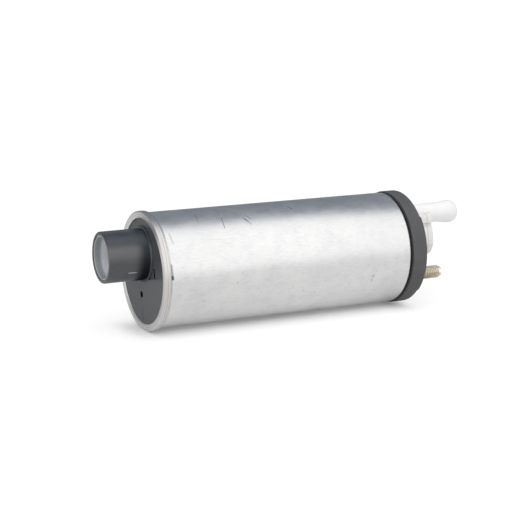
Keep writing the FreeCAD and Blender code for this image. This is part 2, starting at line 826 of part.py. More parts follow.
# Locating pins: two dowels that line up the cover, both plates and the cam ring
dowels = new_body("locating_pins", inlet_plate_front - s.dowel_overrun)
dowel_length = (s.dowel_overrun + s.inlet_plate_thickness + s.rotor_width
                + s.outlet_plate_thickness - s.seat_gap)
dowel = bar(dowels, "dowel", s.dowel_radius, s.side_gap, dowel_length, across=dowel_across)
repeat_round(dowels, "dowel_pair", [dowel], 2)


# Bushes: sintered bronze rings pressed into the outlet plate's boss and the outlet cover
ring_piece("front_bush", motor_front, s.bush_length, bush_bore, s.bush_radius)
rear_bush_front = outlet_front + s.bush_setback
ring_piece("rear_bush", rear_bush_front, s.bush_length, bush_bore, s.bush_radius)


# Drive coupling: plastic hub on the shaft's end whose dogs enter the inner rotor
coupling_front = outlet_plate_front + s.side_gap
coupling_length = s.outlet_plate_thickness - s.side_gap * 4
coupling = new_body("drive_coupling", coupling_front)
turn(coupling, "coupling_hub", tube_corners(0, coupling_length, hub_bore, coupling_radius))
dog = bar(coupling, "dog", s.dog_radius, -s.dog_length, s.side_gap, across=s.dog_circle_radius)
repeat_round(coupling, "dogs", [dog], s.dog_count)


# Armature shaft: ground steel from the coupling to the rear bush, with a thrust shoulder in the rear
shaft_front = motor_front - s.coupling_grip
shaft_length = rear_bush_front + s.bush_length + s.shaft_overrun - shaft_front
rear_washer_front = rear_bush_front - s.washer_thickness - s.side_gap
shoulder_end = rear_washer_front - s.side_gap - shaft_front
shoulder_radius = s.shaft_radius + s.washer_thickness
commutator_end = commutator_front + s.commutator_length
shoulder_start = commutator_end - shaft_front
shaft = new_body("armature_shaft", shaft_front)
turn(shaft, "shaft_turned", [
    (0, 0),
    (0, s.shaft_radius),
    (shoulder_start, s.shaft_radius),
    (shoulder_start, shoulder_radius),
    (shoulder_end, shoulder_radius),
    (shoulder_end, s.shaft_radius),
    (shaft_length, s.shaft_radius),
    (shaft_length, 0),
])


# Thrust washers at both ends of the armature
front_washer_front = motor_front + s.bush_length + s.side_gap
ring_piece("front_thrust_washer", front_washer_front, s.washer_thickness, hub_bore, s.washer_radius)
ring_piece("rear_thrust_washer", rear_washer_front, s.washer_thickness, hub_bore, s.washer_radius)


# Armature core: stack of slotted laminations
slot_body_end = core_radius - s.slot_lip
core = new_body("armature_core", core_front)
turn(core, "core_ring", tube_corners(0, core_length, hub_bore, core_radius))
slot_body = block(core, "slot_body", (-MARGIN, core_length + MARGIN),
                  (-s.slot_body_width / 2, s.slot_body_width / 2),
                  (s.slot_floor_radius, slot_body_end), cut=True)
slot_mouth = block(core, "slot_mouth", (-MARGIN, core_length + MARGIN),
                   (-s.slot_mouth_width / 2, s.slot_mouth_width / 2),
                   (slot_body_end - MARGIN, core_radius + MARGIN), cut=True)
repeat_round(core, "core_slots", [slot_body, slot_mouth], s.slot_count)


# Core insulators: a slotted plastic disc on each end of the core
insulator_radius = core_radius - s.insulator_setback
insulators = new_body("core_insulators", core_front)
for name, start in (("front", -s.insulator_thickness), ("rear", core_length)):
    turn(insulators, f"insulator_{name}",
         tube_corners(start, start + s.insulator_thickness, hub_bore, insulator_radius))
insulator_slot = block(insulators, "insulator_slot",
                       (-s.insulator_thickness - MARGIN, core_length + s.insulator_thickness + MARGIN),
                       (-s.slot_body_width / 2, s.slot_body_width / 2),
                       (s.slot_floor_radius, insulator_radius + MARGIN), cut=True)
repeat_round(insulators, "insulator_slots", [insulator_slot], s.slot_count)


# Armature windings: copper bundles in the slots, joined by a rounded crown at each end
crown_inner_radius = s.bush_boss_radius + s.crown_boss_gap
crown_outer_radius = core_radius - s.crown_setback
windings = new_body("armature_windings", core_front)
front_crown_end = -s.insulator_thickness - s.winding_gap
rear_crown_start = core_length + s.insulator_thickness + s.winding_gap
bundle_width = s.slot_body_width - s.winding_gap * 2
bundle = block(windings, "bundle", (front_crown_end - MARGIN, rear_crown_start + MARGIN),
               (-bundle_width / 2, bundle_width / 2),
               (s.slot_floor_radius + s.winding_gap, slot_body_end - s.winding_gap))
repeat_round(windings, "bundles", [bundle], s.slot_count)
turn(windings, "front_crown", tube_corners(
    front_crown_end - s.crown_length, front_crown_end, crown_inner_radius, crown_outer_radius))
turn(windings, "rear_crown", tube_corners(
    rear_crown_start, rear_crown_start + s.crown_length, crown_inner_radius, crown_outer_radius))
round_edges(windings, "crown_edges", s.crown_round, [
    (front_crown_end - s.crown_length, crown_outer_radius),
    (rear_crown_start + s.crown_length, crown_outer_radius),
])


# Commutator: a phenolic hub with copper bars round it, each bar with a tang for its wire
bar_floor = s.commutator_radius - s.bar_thickness
ring_piece("commutator_hub", commutator_front, s.commutator_length, hub_bore, bar_floor - s.press_gap)
bars = new_body("commutator_bars", commutator_front)
turn(bars, "bars_ring", [
    (0, bar_floor),
    (0, s.tang_radius),
    (s.tang_length, s.tang_radius),
    (s.tang_length, s.commutator_radius),
    (s.commutator_length, s.commutator_radius),
    (s.commutator_length, bar_floor),
])
slit = block(bars, "slit", (-MARGIN, s.commutator_length + MARGIN), (-s.bar_slit / 2, s.bar_slit / 2),
             (bar_floor - MARGIN, s.tang_radius + MARGIN), cut=True)
repeat_round(bars, "slits", [slit], s.bar_count)


# Flux ring: steel return ring, clamped between the pump stack and the outlet cover
flux_length = outlet_front - motor_front
ring_piece("flux_ring", motor_front, flux_length, flux_bore, nest_radius)


# Field magnets: two ferrite arcs, and two steel clips that spread them apart
for label, side in (("magnet_upper", 1), ("magnet_lower", -1)):
    magnet = new_body(label, magnet_front)
    turn(magnet, label + "_arc", tube_corners(0, magnet_length, magnet_inner * side,
                                              magnet_outer * side),
         angle=s.magnet_angle, role="XZ_Plane")

clip_angle = as_size(180) - s.magnet_angle - s.clip_end_angle
clip_length = magnet_length - s.clip_setback * 2
clip_front = magnet_front + (magnet_length - clip_length) / 2
clip_outer = magnet_outer - s.seat_gap
clip_inner = clip_outer - s.clip_height
clip_leg_angle = clip_angle - s.clip_thickness * 2 / clip_outer * RADIAN
clips = new_body("magnet_clips", clip_front)
for name, side in (("near", -1), ("far", 1)):
    turn(clips, f"clip_{name}", tube_corners(0, clip_length, clip_inner * side, clip_outer * side),
         angle=clip_angle)
    turn(clips, f"clip_{name}_hollow",
         tube_corners(-MARGIN, clip_length + MARGIN, (clip_inner - MARGIN) * side,
                      (clip_outer - s.clip_thickness) * side), cut=True, angle=clip_leg_angle)


# Brush holder: plastic disc with two brush boxes, a slot in each for the lead, and holes for the leads
holder_front = outlet_front - s.holder_disc_start - s.holder_disc_thickness
brush_middle = -s.brush_setback + s.holder_disc_start + s.holder_disc_thickness
cavity_half_width = s.brush_width / 2 + s.brush_side_gap
cavity_half_height = s.brush_height / 2 + s.brush_side_gap
box_end = flux_bore - s.box_gap
cavity_end = box_end - s.box_end_wall
holder_post_circle = flux_bore - s.holder_post_inset
lead_across = s.brush_outer_end - s.lead_inset
lead_start_drop = s.brush_height / 2
holder = new_body("brush_holder", holder_front)
turn(holder, "holder_disc", tube_corners(0, s.holder_disc_thickness, s.holder_bore_radius,
                                         flux_bore - s.seat_gap))
for name, angle in (("near", -s.holder_post_angle + 180), ("far", s.holder_post_angle),
                    ("low", as_size(-90))):
    bar(holder, f"post_{name}", s.holder_post_radius, s.holder_disc_thickness,
        s.holder_disc_thickness + s.holder_disc_start,
        across=holder_post_circle * angle.cos(), up=holder_post_circle * angle.sin())


def mirrored(side, low, high):
    """A span across the pump, on one side or the other."""
    return (low, high) if side > 0 else (-as_size(high), -as_size(low))


for name, side in (("positive", -1), ("negative", 1)):
    block(holder, f"box_{name}", (brush_middle - cavity_half_width - s.box_wall, s.holder_disc_thickness),
          mirrored(side, s.box_start, box_end),
          (-cavity_half_height - s.box_wall, cavity_half_height + s.box_wall))
for name, side in (("positive", -1), ("negative", 1)):
    block(holder, f"cavity_{name}", (brush_middle - cavity_half_width, brush_middle + cavity_half_width),
          mirrored(side, s.box_start - MARGIN, cavity_end),
          (-cavity_half_height, cavity_half_height), cut=True)
    block(holder, f"lead_slot_{name}",
          (brush_middle - s.lead_slot_width / 2, brush_middle + s.lead_slot_width / 2),
          mirrored(side, lead_across - s.lead_slot_width / 2, lead_across + s.lead_slot_travel),
          (-cavity_half_height - s.box_wall - MARGIN, 0), cut=True)
    bar(holder, f"lead_hole_{name}", s.lead_hole_radius, -MARGIN, s.holder_disc_thickness + MARGIN,
        across=stud_across * side, up=-stud_drop, cut=True)


# Brushes: carbon blocks whose inner ends are hollowed to the commutator's radius
for name, side in (("positive", -1), ("negative", 1)):
    brush = new_body(f"brush_{name}", holder_front + brush_middle)
    block(brush, f"brush_{name}_block", (-s.brush_width / 2, s.brush_width / 2),
          mirrored(side, s.commutator_radius - MARGIN, s.brush_outer_end),
          (-s.brush_height / 2, s.brush_height / 2))
    bar(brush, f"brush_{name}_face", s.commutator_radius + s.brush_face_gap,
        -s.brush_width, s.brush_width, cut=True)


# Brush springs: coils that press the brushes inwards, from the brush's end to the box's end wall
brush_spring_start = s.brush_outer_end + s.brush_spring_wire + s.seat_gap
brush_spring_end = cavity_end - s.brush_spring_wire - s.seat_gap
for name, side in (("positive", -1), ("negative", 1)):
    shaped(f"brush_spring_{name}",
           coil(s.brush_spring_radius.value, s.brush_spring_wire.value, s.brush_spring_turns.value,
                Vector(0, side * brush_spring_start.value, 0), Vector(0, side * brush_spring_end.value, 0)),
           holder_front + brush_middle)


def bent_wire(points, radius):
    """A round wire through the points, with straight runs joined by arcs as large as they allow."""
    edges = []
    here = points[0]
    for before, corner, after in zip(points, points[1:], points[2:]):
        back, ahead = before - corner, after - corner
        shorter = min(back.Length, ahead.Length)
        back.normalize()
        ahead.normalize()
        setback = 0.45 * shorter
        arc_start, arc_end = corner + back * setback, corner + ahead * setback
        edges.append(Part.LineSegment(here, arc_start).toShape())
        edges.append(Part.Arc(arc_start, mid_of_arc(arc_start, corner, arc_end), arc_end).toShape())
        here = arc_end
    edges.append(Part.LineSegment(here, points[-1]).toShape())
    section = Part.Wire(Part.makeCircle(radius, points[0], points[1] - points[0]))
    return Part.Wire(edges).makePipeShell([section], True, False)


# Brush leads: copper wires from each brush's side to the head of its terminal stud
stud_head_front = outlet_front - s.stud_head_length
lead_end = (stud_head_front - holder_front - brush_middle).value
for name, side in (("positive", -1), ("negative", 1)):
    route = [
        Vector(0, side * lead_across.value, -lead_start_drop.value - s.side_gap.value),
        Vector(0, side * lead_across.value, -s.lead_drop.value),
        Vector(s.lead_knee.value, side * stud_across.value, -stud_drop.value),
        Vector(lead_end - s.side_gap.value, side * stud_across.value, -stud_drop.value),
    ]
    shaped(f"brush_lead_{name}", bent_wire(route, s.lead_radius.value), holder_front + brush_middle)


# Outlet cover: natural nylon disc. The flange sits in the tube and the spigot carries the cushion ring.
# x = 0 is its inner face.
outlet = new_body("outlet_cover", outlet_front)
shoulder = s.outlet_flange_length
outer_face = shoulder + s.spigot_length
turn(outlet, "outlet_flange", [
    (0, 0),
    (0, nest_radius),
    (shoulder, nest_radius),
    (shoulder, spigot_radius),
    (outer_face, spigot_radius),
    (outer_face, 0),
])
nipple_root = outer_face - s.nipple_seat_depth
nipple_seat_radius = s.outlet_radius + s.press_gap
valve_chamber_depth = nipple_root - s.valve_chamber_wall
core_pocket_across = spigot_radius - s.core_pocket_inset
bar(outlet, "valve_chamber", s.valve_chamber_radius, -MARGIN, valve_chamber_depth,
    up=s.outlet_up, cut=True)
bar(outlet, "outlet_passage", s.outlet_bore_radius, 0, outer_face, up=s.outlet_up, cut=True)
bar(outlet, "nipple_seat", nipple_seat_radius, nipple_root, outer_face + MARGIN,
    up=s.outlet_up, cut=True)
bar(outlet, "bush_seat", bush_outer, -MARGIN, s.bush_setback + s.bush_length, cut=True)
bar(outlet, "washer_recess", s.washer_radius + s.washer_edge_gap, -MARGIN, s.bush_setback, cut=True)
bar(outlet, "shaft_room", s.turret_core_radius, 0, outer_face + MARGIN, cut=True)
for name, side in (("near", -1), ("far", 1)):
    bar(outlet, f"core_pocket_{name}", s.core_pocket_radius, -MARGIN, s.core_pocket_depth,
        across=core_pocket_across * side, up=s.core_pocket_up, cut=True)
turn(outlet, "outlet_seal_groove", tube_corners(
    s.outlet_groove_start, s.outlet_groove_start + s.seal_groove_width, groove_floor,
    nest_radius + MARGIN), cut=True)
stud_radii = (("positive", -1, s.stud_positive_radius), ("negative", 1, s.stud_negative_radius))
for name, side, stud_radius in stud_radii:
    shank_radius = stud_radius - s.stud_shank_step
    bar(outlet, f"stud_hole_{name}", shank_radius + s.press_gap, -MARGIN, outer_face + MARGIN,
        across=stud_across * side, up=-stud_drop, cut=True)
    bar(outlet, f"stud_seal_seat_{name}", shank_radius + s.stud_seal_wire * 2 + s.seat_gap, -MARGIN,
        s.stud_seal_depth, across=stud_across * side, up=-stud_drop, cut=True)

rear_seal = new_body("outlet_cover_seal", outlet_front + s.outlet_groove_start + s.seal_groove_width / 2)
seal_ring(rear_seal, "outlet_seal_ring", s.seal_wire, seal_centre_radius)


# Outlet turret: natural nylon block welded to the cover's outer face, hollow over the shaft's end, with a
# groove near its cap and a seat on top for the nipple. x = 0 is its foot.
turret_front = outlet_front + outer_face
turret = new_body("outlet_turret", turret_front)


def turret_slice(name, start, end, inset):
    """One slice of the turret: wide top with rounded corners, a notch, and a round lower half."""
    top_half = s.turret_top_half_width - inset
    lower_half = s.turret_half_width - inset
    corner_centre = s.turret_top - s.turret_top_round
    corner_across = s.turret_top_half_width - s.turret_top_round
    corner_radius = s.turret_top_round - inset
    block(turret, name + "_top", (start, end), (-top_half, top_half), (s.turret_notch_top, corner_centre))
    block(turret, name + "_crown", (start, end), (-corner_across, corner_across),
          (s.turret_notch_top, s.turret_top - inset))
    bar(turret, name + "_corner_near", corner_radius, start, end, across=-corner_across, up=corner_centre)
    bar(turret, name + "_corner_far", corner_radius, start, end, across=corner_across, up=corner_centre)
    block(turret, name + "_notch", (start, end), (-s.turret_notch_half_width, s.turret_notch_half_width),
          (s.turret_notch_bottom, s.turret_notch_top))
    block(turret, name + "_side", (start, end), (-lower_half, lower_half),
          (s.turret_centre_up, s.turret_notch_bottom))
    bar(turret, name + "_round", lower_half, start, end, up=s.turret_centre_up)


cap_start = s.turret_length - s.turret_cap
line_start = cap_start - s.turret_cap_line
turret_slice("turret_base", as_size(0), line_start, as_size(0))
turret_slice("turret_line", line_start, cap_start, s.turret_cap_line_depth)
turret_slice("turret_cap", cap_start, s.turret_length, as_size(0))
bar(turret, "turret_core", s.turret_core_radius, -MARGIN, cap_start, cut=True)
bar(turret, "turret_nipple_seat", nipple_seat_radius, -MARGIN, s.turret_length + MARGIN,
    up=s.outlet_up, cut=True)


# Outlet nipple: nylon hose nipple with a barb, whose root is welded into the cover. x = 0 is its root.
ramp_start = s.nipple_seat_depth + s.turret_length + s.outlet_straight
land_start = ramp_start + s.barb_ramp
nose_start = land_start + s.barb_land
nipple_end = nose_start + s.barb_nose
nipple = new_body("outlet_nipple", outlet_front + nipple_root, up=s.outlet_up)
turn(nipple, "nipple_turned", [
    (0, s.outlet_bore_radius),
    (0, s.outlet_radius),
    (ramp_start, s.outlet_radius),
    (land_start, s.barb_radius),
    (nose_start, s.barb_radius),
    (nipple_end, s.barb_tip_radius),
    (nipple_end, s.outlet_bore_radius),
])


# Terminal studs: threaded rods with a slotted end, held by their heads inside the cover. The thread starts
# at the cover's outer face, and the shank inside the cover is a little thinner.
for name, side, stud_radius in stud_radii:
    shank_radius = stud_radius - s.stud_shank_step
    thread_start = s.stud_head_length + outer_face
    stud = new_body(f"terminal_stud_{name}", stud_head_front, stud_across * side, -stud_drop)
    stud_end = thread_start + s.stud_reach
    turn(stud, f"stud_{name}_turned", [
        (0, 0),
        (0, s.stud_head_radius),
        (s.stud_head_length, s.stud_head_radius),
        (s.stud_head_length, shank_radius),
        (thread_start, shank_radius),
        (thread_start, stud_radius),
        (stud_end - s.stud_nose_length, stud_radius),
        (stud_end, stud_radius - s.stud_nose_step),
        (stud_end, 0),
    ])
    block(stud, f"stud_{name}_slot", (stud_end - s.stud_slot_depth, stud_end + MARGIN),
          (-s.stud_head_radius, s.stud_head_radius), (-s.stud_slot_width / 2, s.stud_slot_width / 2),
          cut=True)

stud_seals = new_body("terminal_seals", outlet_front + s.stud_seal_wire)
for name, side, stud_radius in stud_radii:
    seal_ring(stud_seals, f"stud_seal_{name}", s.stud_seal_wire,
              stud_radius - s.stud_shank_step + s.stud_seal_wire,
              across=stud_across * side, up=-stud_drop)


# Check valve at the outlet: brass seat, nylon poppet with a rubber seal, and its spring
valve_seal_front = s.valve_seat_length + s.seat_gap
valve_head_front = valve_seal_front + s.valve_seal_thickness
valve_head_end = valve_head_front + s.valve_head_length
ring_piece("check_valve_seat", outlet_front, s.valve_seat_length, s.valve_seat_bore,
           s.valve_chamber_radius - s.press_gap, up=s.outlet_up)
ring_piece("check_valve_seal", outlet_front + valve_seal_front, s.valve_seal_thickness,
           s.valve_seal_bore, s.valve_seal_radius, up=s.outlet_up)
poppet = new_body("check_valve_poppet", outlet_front + valve_head_front, up=s.outlet_up)
poppet_nose = s.valve_seal_bore - s.press_gap
turn(poppet, "poppet_turned", [
    (-s.valve_seal_thickness, 0),
    (-s.valve_seal_thickness, poppet_nose),
    (0, poppet_nose),
    (0, s.valve_head_radius),
    (s.valve_head_length, s.valve_head_radius),
    (s.valve_head_length, s.valve_stem_radius),
    (s.valve_head_length + s.valve_stem_length, s.valve_stem_radius),
    (s.valve_head_length + s.valve_stem_length, 0),
])
valve_spring_start = valve_head_end + s.valve_spring_wire + s.seat_gap
valve_spring_end = valve_chamber_depth - s.valve_spring_wire - s.seat_gap
shaped("check_valve_spring",
       coil(s.valve_spring_radius.value, s.valve_spring_wire.value, s.valve_spring_turns.value,
            Vector(0, 0, 0), Vector((valve_spring_end - valve_spring_start).value, 0, 0)),
       outlet_front + valve_spring_start, up=s.outlet_up)


# Relief valve behind the vent hole: the ball sits on its bush in the inlet plate
ring_piece("relief_valve_seat", inlet_plate_front, s.relief_seat_length, s.relief_seat_bore,
           relief_seat_radius - s.press_gap, across=s.vent_across, up=-s.vent_drop)
ball_sink = math.sqrt(s.relief_ball_radius.value ** 2 - s.relief_seat_bore.value ** 2)
ball_middle = inlet_plate_front - ball_sink - s.side_gap
ball = new_body("relief_valve_ball", ball_middle, s.vent_across, -s.vent_drop)
ball_sphere = ball.newObject("PartDesign::AdditiveSphere", "ball_sphere")
bind(ball_sphere, Radius=s.relief_ball_radius)
relief_spring_low = inlet_plate_front - s.relief_chamber_depth + s.relief_spring_wire + s.seat_gap
relief_spring_high = ball_middle - s.relief_ball_radius + s.relief_spring_wire
shaped("relief_valve_spring",
       coil(s.relief_spring_radius.value, s.relief_spring_wire.value, s.relief_spring_turns.value,
            Vector(0, 0, 0), Vector((relief_spring_high - relief_spring_low).value, 0, 0)),
       relief_spring_low, across=s.vent_across, up=-s.vent_drop)


# Cushion ring: black rubber round the outlet cover's spigot. A neck fills the space to the tube's edge,
# and the rear edge stands a little higher on both sides than at the top and the bottom.
ring_bore = spigot_radius + s.press_gap
ring_end = s.ring_gap + s.ring_length
cushion = new_body("rear_cushion_ring", tube_rear)
turn(cushion, "cushion_turned", [
    (0, ring_bore),
    (0, ring_radius - s.ring_neck),
    (s.ring_gap, ring_radius - s.ring_neck),
    (s.ring_gap, ring_radius),
    (ring_end, ring_radius),
    (ring_end, ring_bore),
])
round_edges(cushion, "cushion_rear_edge", s.ring_edge, [(ring_end, ring_radius)])
round_edges(cushion, "cushion_front_edge", s.ring_front_edge, [(s.ring_gap, ring_radius)])
for name, side, gap_angle in (("top", 1, s.ring_top_gap_angle), ("bottom", -1, s.ring_bottom_gap_angle)):
    turn(cushion, f"cushion_{name}_gap",
         tube_corners(ring_end - s.ring_step, ring_end + MARGIN, (ring_bore - MARGIN) * side,
                      (ring_radius + MARGIN) * side), cut=True, angle=gap_angle, role="XZ_Plane")


doc.recompute()
failed = [thing.Name for thing in doc.Objects if {"Invalid", "Error"} & set(thing.State)]
if failed:
    raise RuntimeError("did not build: " + ", ".join(failed))

pieces = [thing for thing in doc.Objects if thing.TypeId in ("PartDesign::Body", "Part::Feature")]
for piece in pieces:
    if piece.Shape.isNull() or not piece.Shape.isValid():
        raise RuntimeError("bad shape: " + piece.Label)

os.makedirs("parts", exist_ok=True)
for piece in pieces:
    piece.Shape.exportStep(f"parts/{piece.Label}.step")
    print(piece.Label, len(piece.Shape.Solids), round(piece.Shape.Volume, 1))
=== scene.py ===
import math

import bpy
from mathutils import Matrix, Vector


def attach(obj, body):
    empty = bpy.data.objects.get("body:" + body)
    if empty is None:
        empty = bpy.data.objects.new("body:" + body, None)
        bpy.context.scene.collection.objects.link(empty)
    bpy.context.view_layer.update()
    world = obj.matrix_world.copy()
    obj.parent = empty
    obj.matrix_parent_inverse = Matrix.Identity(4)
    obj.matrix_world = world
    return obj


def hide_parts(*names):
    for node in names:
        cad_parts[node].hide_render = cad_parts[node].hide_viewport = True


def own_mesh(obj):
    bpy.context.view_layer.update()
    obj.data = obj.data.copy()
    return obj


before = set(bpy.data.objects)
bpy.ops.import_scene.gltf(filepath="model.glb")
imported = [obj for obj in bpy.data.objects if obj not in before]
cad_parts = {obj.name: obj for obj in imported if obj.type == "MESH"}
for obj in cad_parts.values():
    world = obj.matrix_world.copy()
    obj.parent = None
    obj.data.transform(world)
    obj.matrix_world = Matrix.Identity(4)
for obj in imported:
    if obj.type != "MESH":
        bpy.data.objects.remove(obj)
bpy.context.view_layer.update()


# Table, camera and light. The pump lies on a plain pale table and is seen from its inlet end, a little
# from above. The room is white and softly lit, and a dark card behind the pump, which only shines in
# the metal, gives the tube the dark band along its top.
floor_height = -0.0223
camera_place = Vector((-0.26294, -0.53581, 0.12633))
camera_aim = Vector((0.4295, 0.8780, -0.2110))
camera_data = bpy.data.cameras.new("camera")
camera_data.lens = 108.68
camera_data.sensor_width = 36
camera = bpy.data.objects.new("camera", camera_data)
bpy.context.scene.collection.objects.link(camera)
camera.matrix_world = Matrix.Translation(camera_place) @ camera_aim.to_track_quat("-Z", "Y").to_matrix().to_4x4()
bpy.context.scene.camera = camera
bpy.context.scene.view_settings.view_transform = "Standard"


class Wire:
    """A value inside a material: what is added to it or multiplied with it becomes a Math node."""

    def __init__(self, nodes, socket):
        self.nodes = nodes
        self.socket = socket

    def maths(self, operation, *others):
        """One Math node, with this value first."""
        return self.nodes.node("ShaderNodeMath", {"operation": operation}, dict(enumerate((self,) + others)))

    def __add__(self, other):
        return self.maths("ADD", other)

    def __mul__(self, other):
        return self.maths("MULTIPLY", other)

    def __sub__(self, other):
        return self.maths("SUBTRACT", other)

    def __rsub__(self, other):
        return self * -1 + other

    def __truediv__(self, other):
        return self.maths("DIVIDE", other)

    __radd__ = __add__
    __rmul__ = __mul__

    def rising(self, low, high):
        """0 below low, 1 above high, and a soft step between them. With low over high it falls."""
        return self.nodes.node("ShaderNodeMapRange", {"interpolation_type": "SMOOTHSTEP"},
                               {"Value": self, "From Min": low, "From Max": high})


class Nodes:
    """The shader nodes of a material or of the room."""

    def __init__(self, tree):
        self.tree = tree

    def feed(self, socket, value):
        """Link a value that changes to a socket, or write a plain one into it."""
        if isinstance(value, Wire):
            self.tree.links.new(value.socket, socket)
        else:
            socket.default_value = value

    def node(self, kind, settings=None, inputs=None, output=0):
        """Add a node, its settings first and then the values or links of its sockets."""
        node = self.tree.nodes.new(kind)
        for name, value in (settings or {}).items():
            if name == "stops":
                ramp = node.color_ramp.elements
                ramp[0].position, ramp[0].color = value[0]
                ramp[1].position, ramp[1].color = value[-1]
                for position, colour in value[1:-1]:
                    ramp.new(position).color = colour
            else:
                setattr(node, name, value)
        for name, value in (inputs or {}).items():
            self.feed(node.inputs[name], value)
        return Wire(self, node.outputs[output])

    def looked_at(self):
        """1 for the eye, also by way of metal or glass, and 0 for the light that falls on other things."""
        eye = self.node("ShaderNodeLightPath", output="Is Camera Ray")
        by_metal = self.node("ShaderNodeLightPath", output="Is Glossy Ray")
        through_glass = self.node("ShaderNodeLightPath", output="Is Transmission Ray")
        return eye.maths("MAXIMUM", by_metal).maths("MAXIMUM", through_glass)


class Finish(Nodes):
    """A material made of nodes, with what is the same all over it set on its own shader."""

    def __init__(self, name, surface):
        self.material = bpy.data.materials.new(name)
        self.material.use_nodes = True
        super().__init__(self.material.node_tree)
        self.shader = self.tree.nodes["Principled BSDF"]
        for socket, value in surface.items():
            self.give(socket, value)

    def give(self, socket, value):
        """Set something of the shader, such as its colour, or link what changes over the piece to it."""
        self.feed(self.shader.inputs[socket], value)

    def place(self, stretch=(1, 1, 1), shift=(0, 0, 0)):
        """Where a point of the piece is, stretched along some of its directions."""
        here = self.node("ShaderNodeTexCoord", output="Object")
        return self.node("ShaderNodeMapping", {}, {"Vector": here, "Location": shift, "Scale": stretch})

    def measured(self, axis):
        """How far along X, Y or Z a point of the piece is."""
        return self.node("ShaderNodeSeparateXYZ", {}, {"Vector": self.place()}, axis)

    def noise(self, scale, detail, stretch=(1, 1, 1), shift=(0, 0, 0)):
        """An uneven pattern from 0 to 1, finer with a larger scale."""
        return self.node("ShaderNodeTexNoise", {}, {
            "Vector": self.place(stretch, shift), "Scale": scale, "Detail": detail})

    def mix(self, factor, first, second):
        """The first colour, going over to the second as the factor rises from 0 to 1."""
        return self.node("ShaderNodeMix", {"data_type": "RGBA"}, {0: factor, 6: first, 7: second}, 2)

    def paint(self, mask, colour):
        """Lay a colour over the one that is there, as far as the mask says."""
        under = Wire(self, self.shader.inputs["Base Color"].links[0].from_socket)
        self.give("Base Color", self.mix(mask, under, colour))

    def veil(self, share, shader):
        """Show another shader in place of the finish's own, as far as the share says."""
        self.feed(self.tree.nodes["Material Output"].inputs["Surface"], self.node("ShaderNodeMixShader", {}, {
            0: share, 1: Wire(self, self.shader.outputs[0]), 2: shader}))

    def bump(self, height, depth):
        """Raise the surface by a pattern, at most by the depth in metres."""
        self.give("Normal", self.node("ShaderNodeBump", {}, {"Strength": 1, "Distance": depth, "Height": height}))


def grey(value):
    """A colour with no tint."""
    return (value, value, value, 1)


bpy.ops.object.select_all(action="DESELECT")
bpy.ops.mesh.primitive_plane_add(size=12, location=(0, 0, floor_height))
floor = bpy.context.object
floor.name = "table"
table = Finish("pale_table", {"Base Color": grey(0.9), "Roughness": 0.8, "Specular IOR Level": 0})
beside_pump = table.measured("Y").maths("ABSOLUTE")
past_ends = table.measured("X").maths("ABSOLUTE")
under_pump = beside_pump.rising(0.022, 0.003) * past_ends.rising(0.062, 0.050)
by_camera = table.node("ShaderNodeLightPath", output="Is Camera Ray")
table.veil(table.looked_at() * (0.62 - under_pump * 0.5), table.node("ShaderNodeEmission", {}, {
    "Color": grey(1), "Strength": by_camera * 0.60 + 0.54}))
floor.data.materials.append(table.material)

world = bpy.data.worlds.new("white_room")
bpy.context.scene.world = world
world.use_nodes = True
room = Nodes(world.node_tree)
room_light = room.tree.nodes["Background"]
room.feed(room_light.inputs["Color"], (0.97, 0.985, 1, 1))
room.feed(room_light.inputs["Strength"], 0.5)
white_walls = room.node("ShaderNodeBackground", {}, {"Color": grey(1), "Strength": 1})
room.feed(room.tree.nodes["World Output"].inputs["Surface"], room.node("ShaderNodeMixShader", {}, {
    0: room.looked_at(), 1: Wire(room, room_light.outputs[0]), 2: white_walls}))

for name, source, energy, spread in (("window", (-0.5, -0.9, 1.6), 1.5, 70), ("ceiling", (0.5, 0.2, 1), 0.5, 120)):
    sun_data = bpy.data.lights.new(name, "SUN")
    sun_data.energy = energy
    sun_data.angle = math.radians(spread)
    sun = bpy.data.objects.new(name, sun_data)
    bpy.context.scene.collection.objects.link(sun)
    sun.visible_glossy = False
    sun.rotation_euler = (-Vector(source)).to_track_quat("-Z", "Y").to_euler()

card_rise = math.radians(45)
card_distance = 0.8
card_height = 1.6
bpy.ops.mesh.primitive_plane_add(
    size=1, location=(0.4, card_distance * math.cos(card_rise), card_distance * math.sin(card_rise)),
    rotation=(math.pi - card_rise, 0, 0))
card = bpy.context.object
card.name = "dark_card"
card.scale = (4, card_height, 1)
bpy.ops.object.transform_apply(location=False, rotation=False, scale=True)
felt = Finish("dark_felt", {"Base Color": grey(0), "Roughness": 1, "Specular IOR Level": 0, "Emission Strength": 1})
up_card = felt.measured("Y") / card_height + 0.5
felt.give("Emission Color", felt.node("ShaderNodeValToRGB", {"stops": [
    (0.0, (0.17, 0.19, 0.22, 1)), (0.68, (0.19, 0.21, 0.25, 1)), (0.85, (0.46, 0.48, 0.51, 1)),
    (0.96, (0.86, 0.87, 0.88, 1)), (1.0, grey(1))]}, {"Fac": up_card}))
card.data.materials.append(felt.material)
card.visible_camera = False
card.visible_diffuse = False
card.visible_transmission = False
card.visible_shadow = False


# Housing tube: drawn aluminium, 43 mm across, with a flanged rim in front. Both ends are rolled in over
# the covers. It is brushed along its length and has the scratches of a handled tube; dents at the rim's
# crease are shown only by painted shade and a slight bump.
tube_front, tube_rear = -0.05115, 0.05115
tube_radius, tube_bore, rim_radius = 0.0215, 0.0205, 0.02225
rim_rear = tube_front + 0.0027
lip_bore = 0.01967
roll = math.radians(13)


def at(x, across=0.0, up=0.0):
    """A point in the pump's own directions, rolled about its axis as the pump lies."""
    return Vector((x, across * math.cos(roll) + up * math.sin(roll),
                   up * math.cos(roll) - across * math.sin(roll)))


def merged(piece):
    """Close the seams of a piece in edit mode and point its faces outwards."""
    bpy.ops.mesh.select_all(action="SELECT")
    bpy.ops.mesh.remove_doubles(threshold=1e-6)
    bpy.ops.mesh.normals_make_consistent(inside=False)
    bpy.ops.object.mode_set(mode="OBJECT")
    return piece


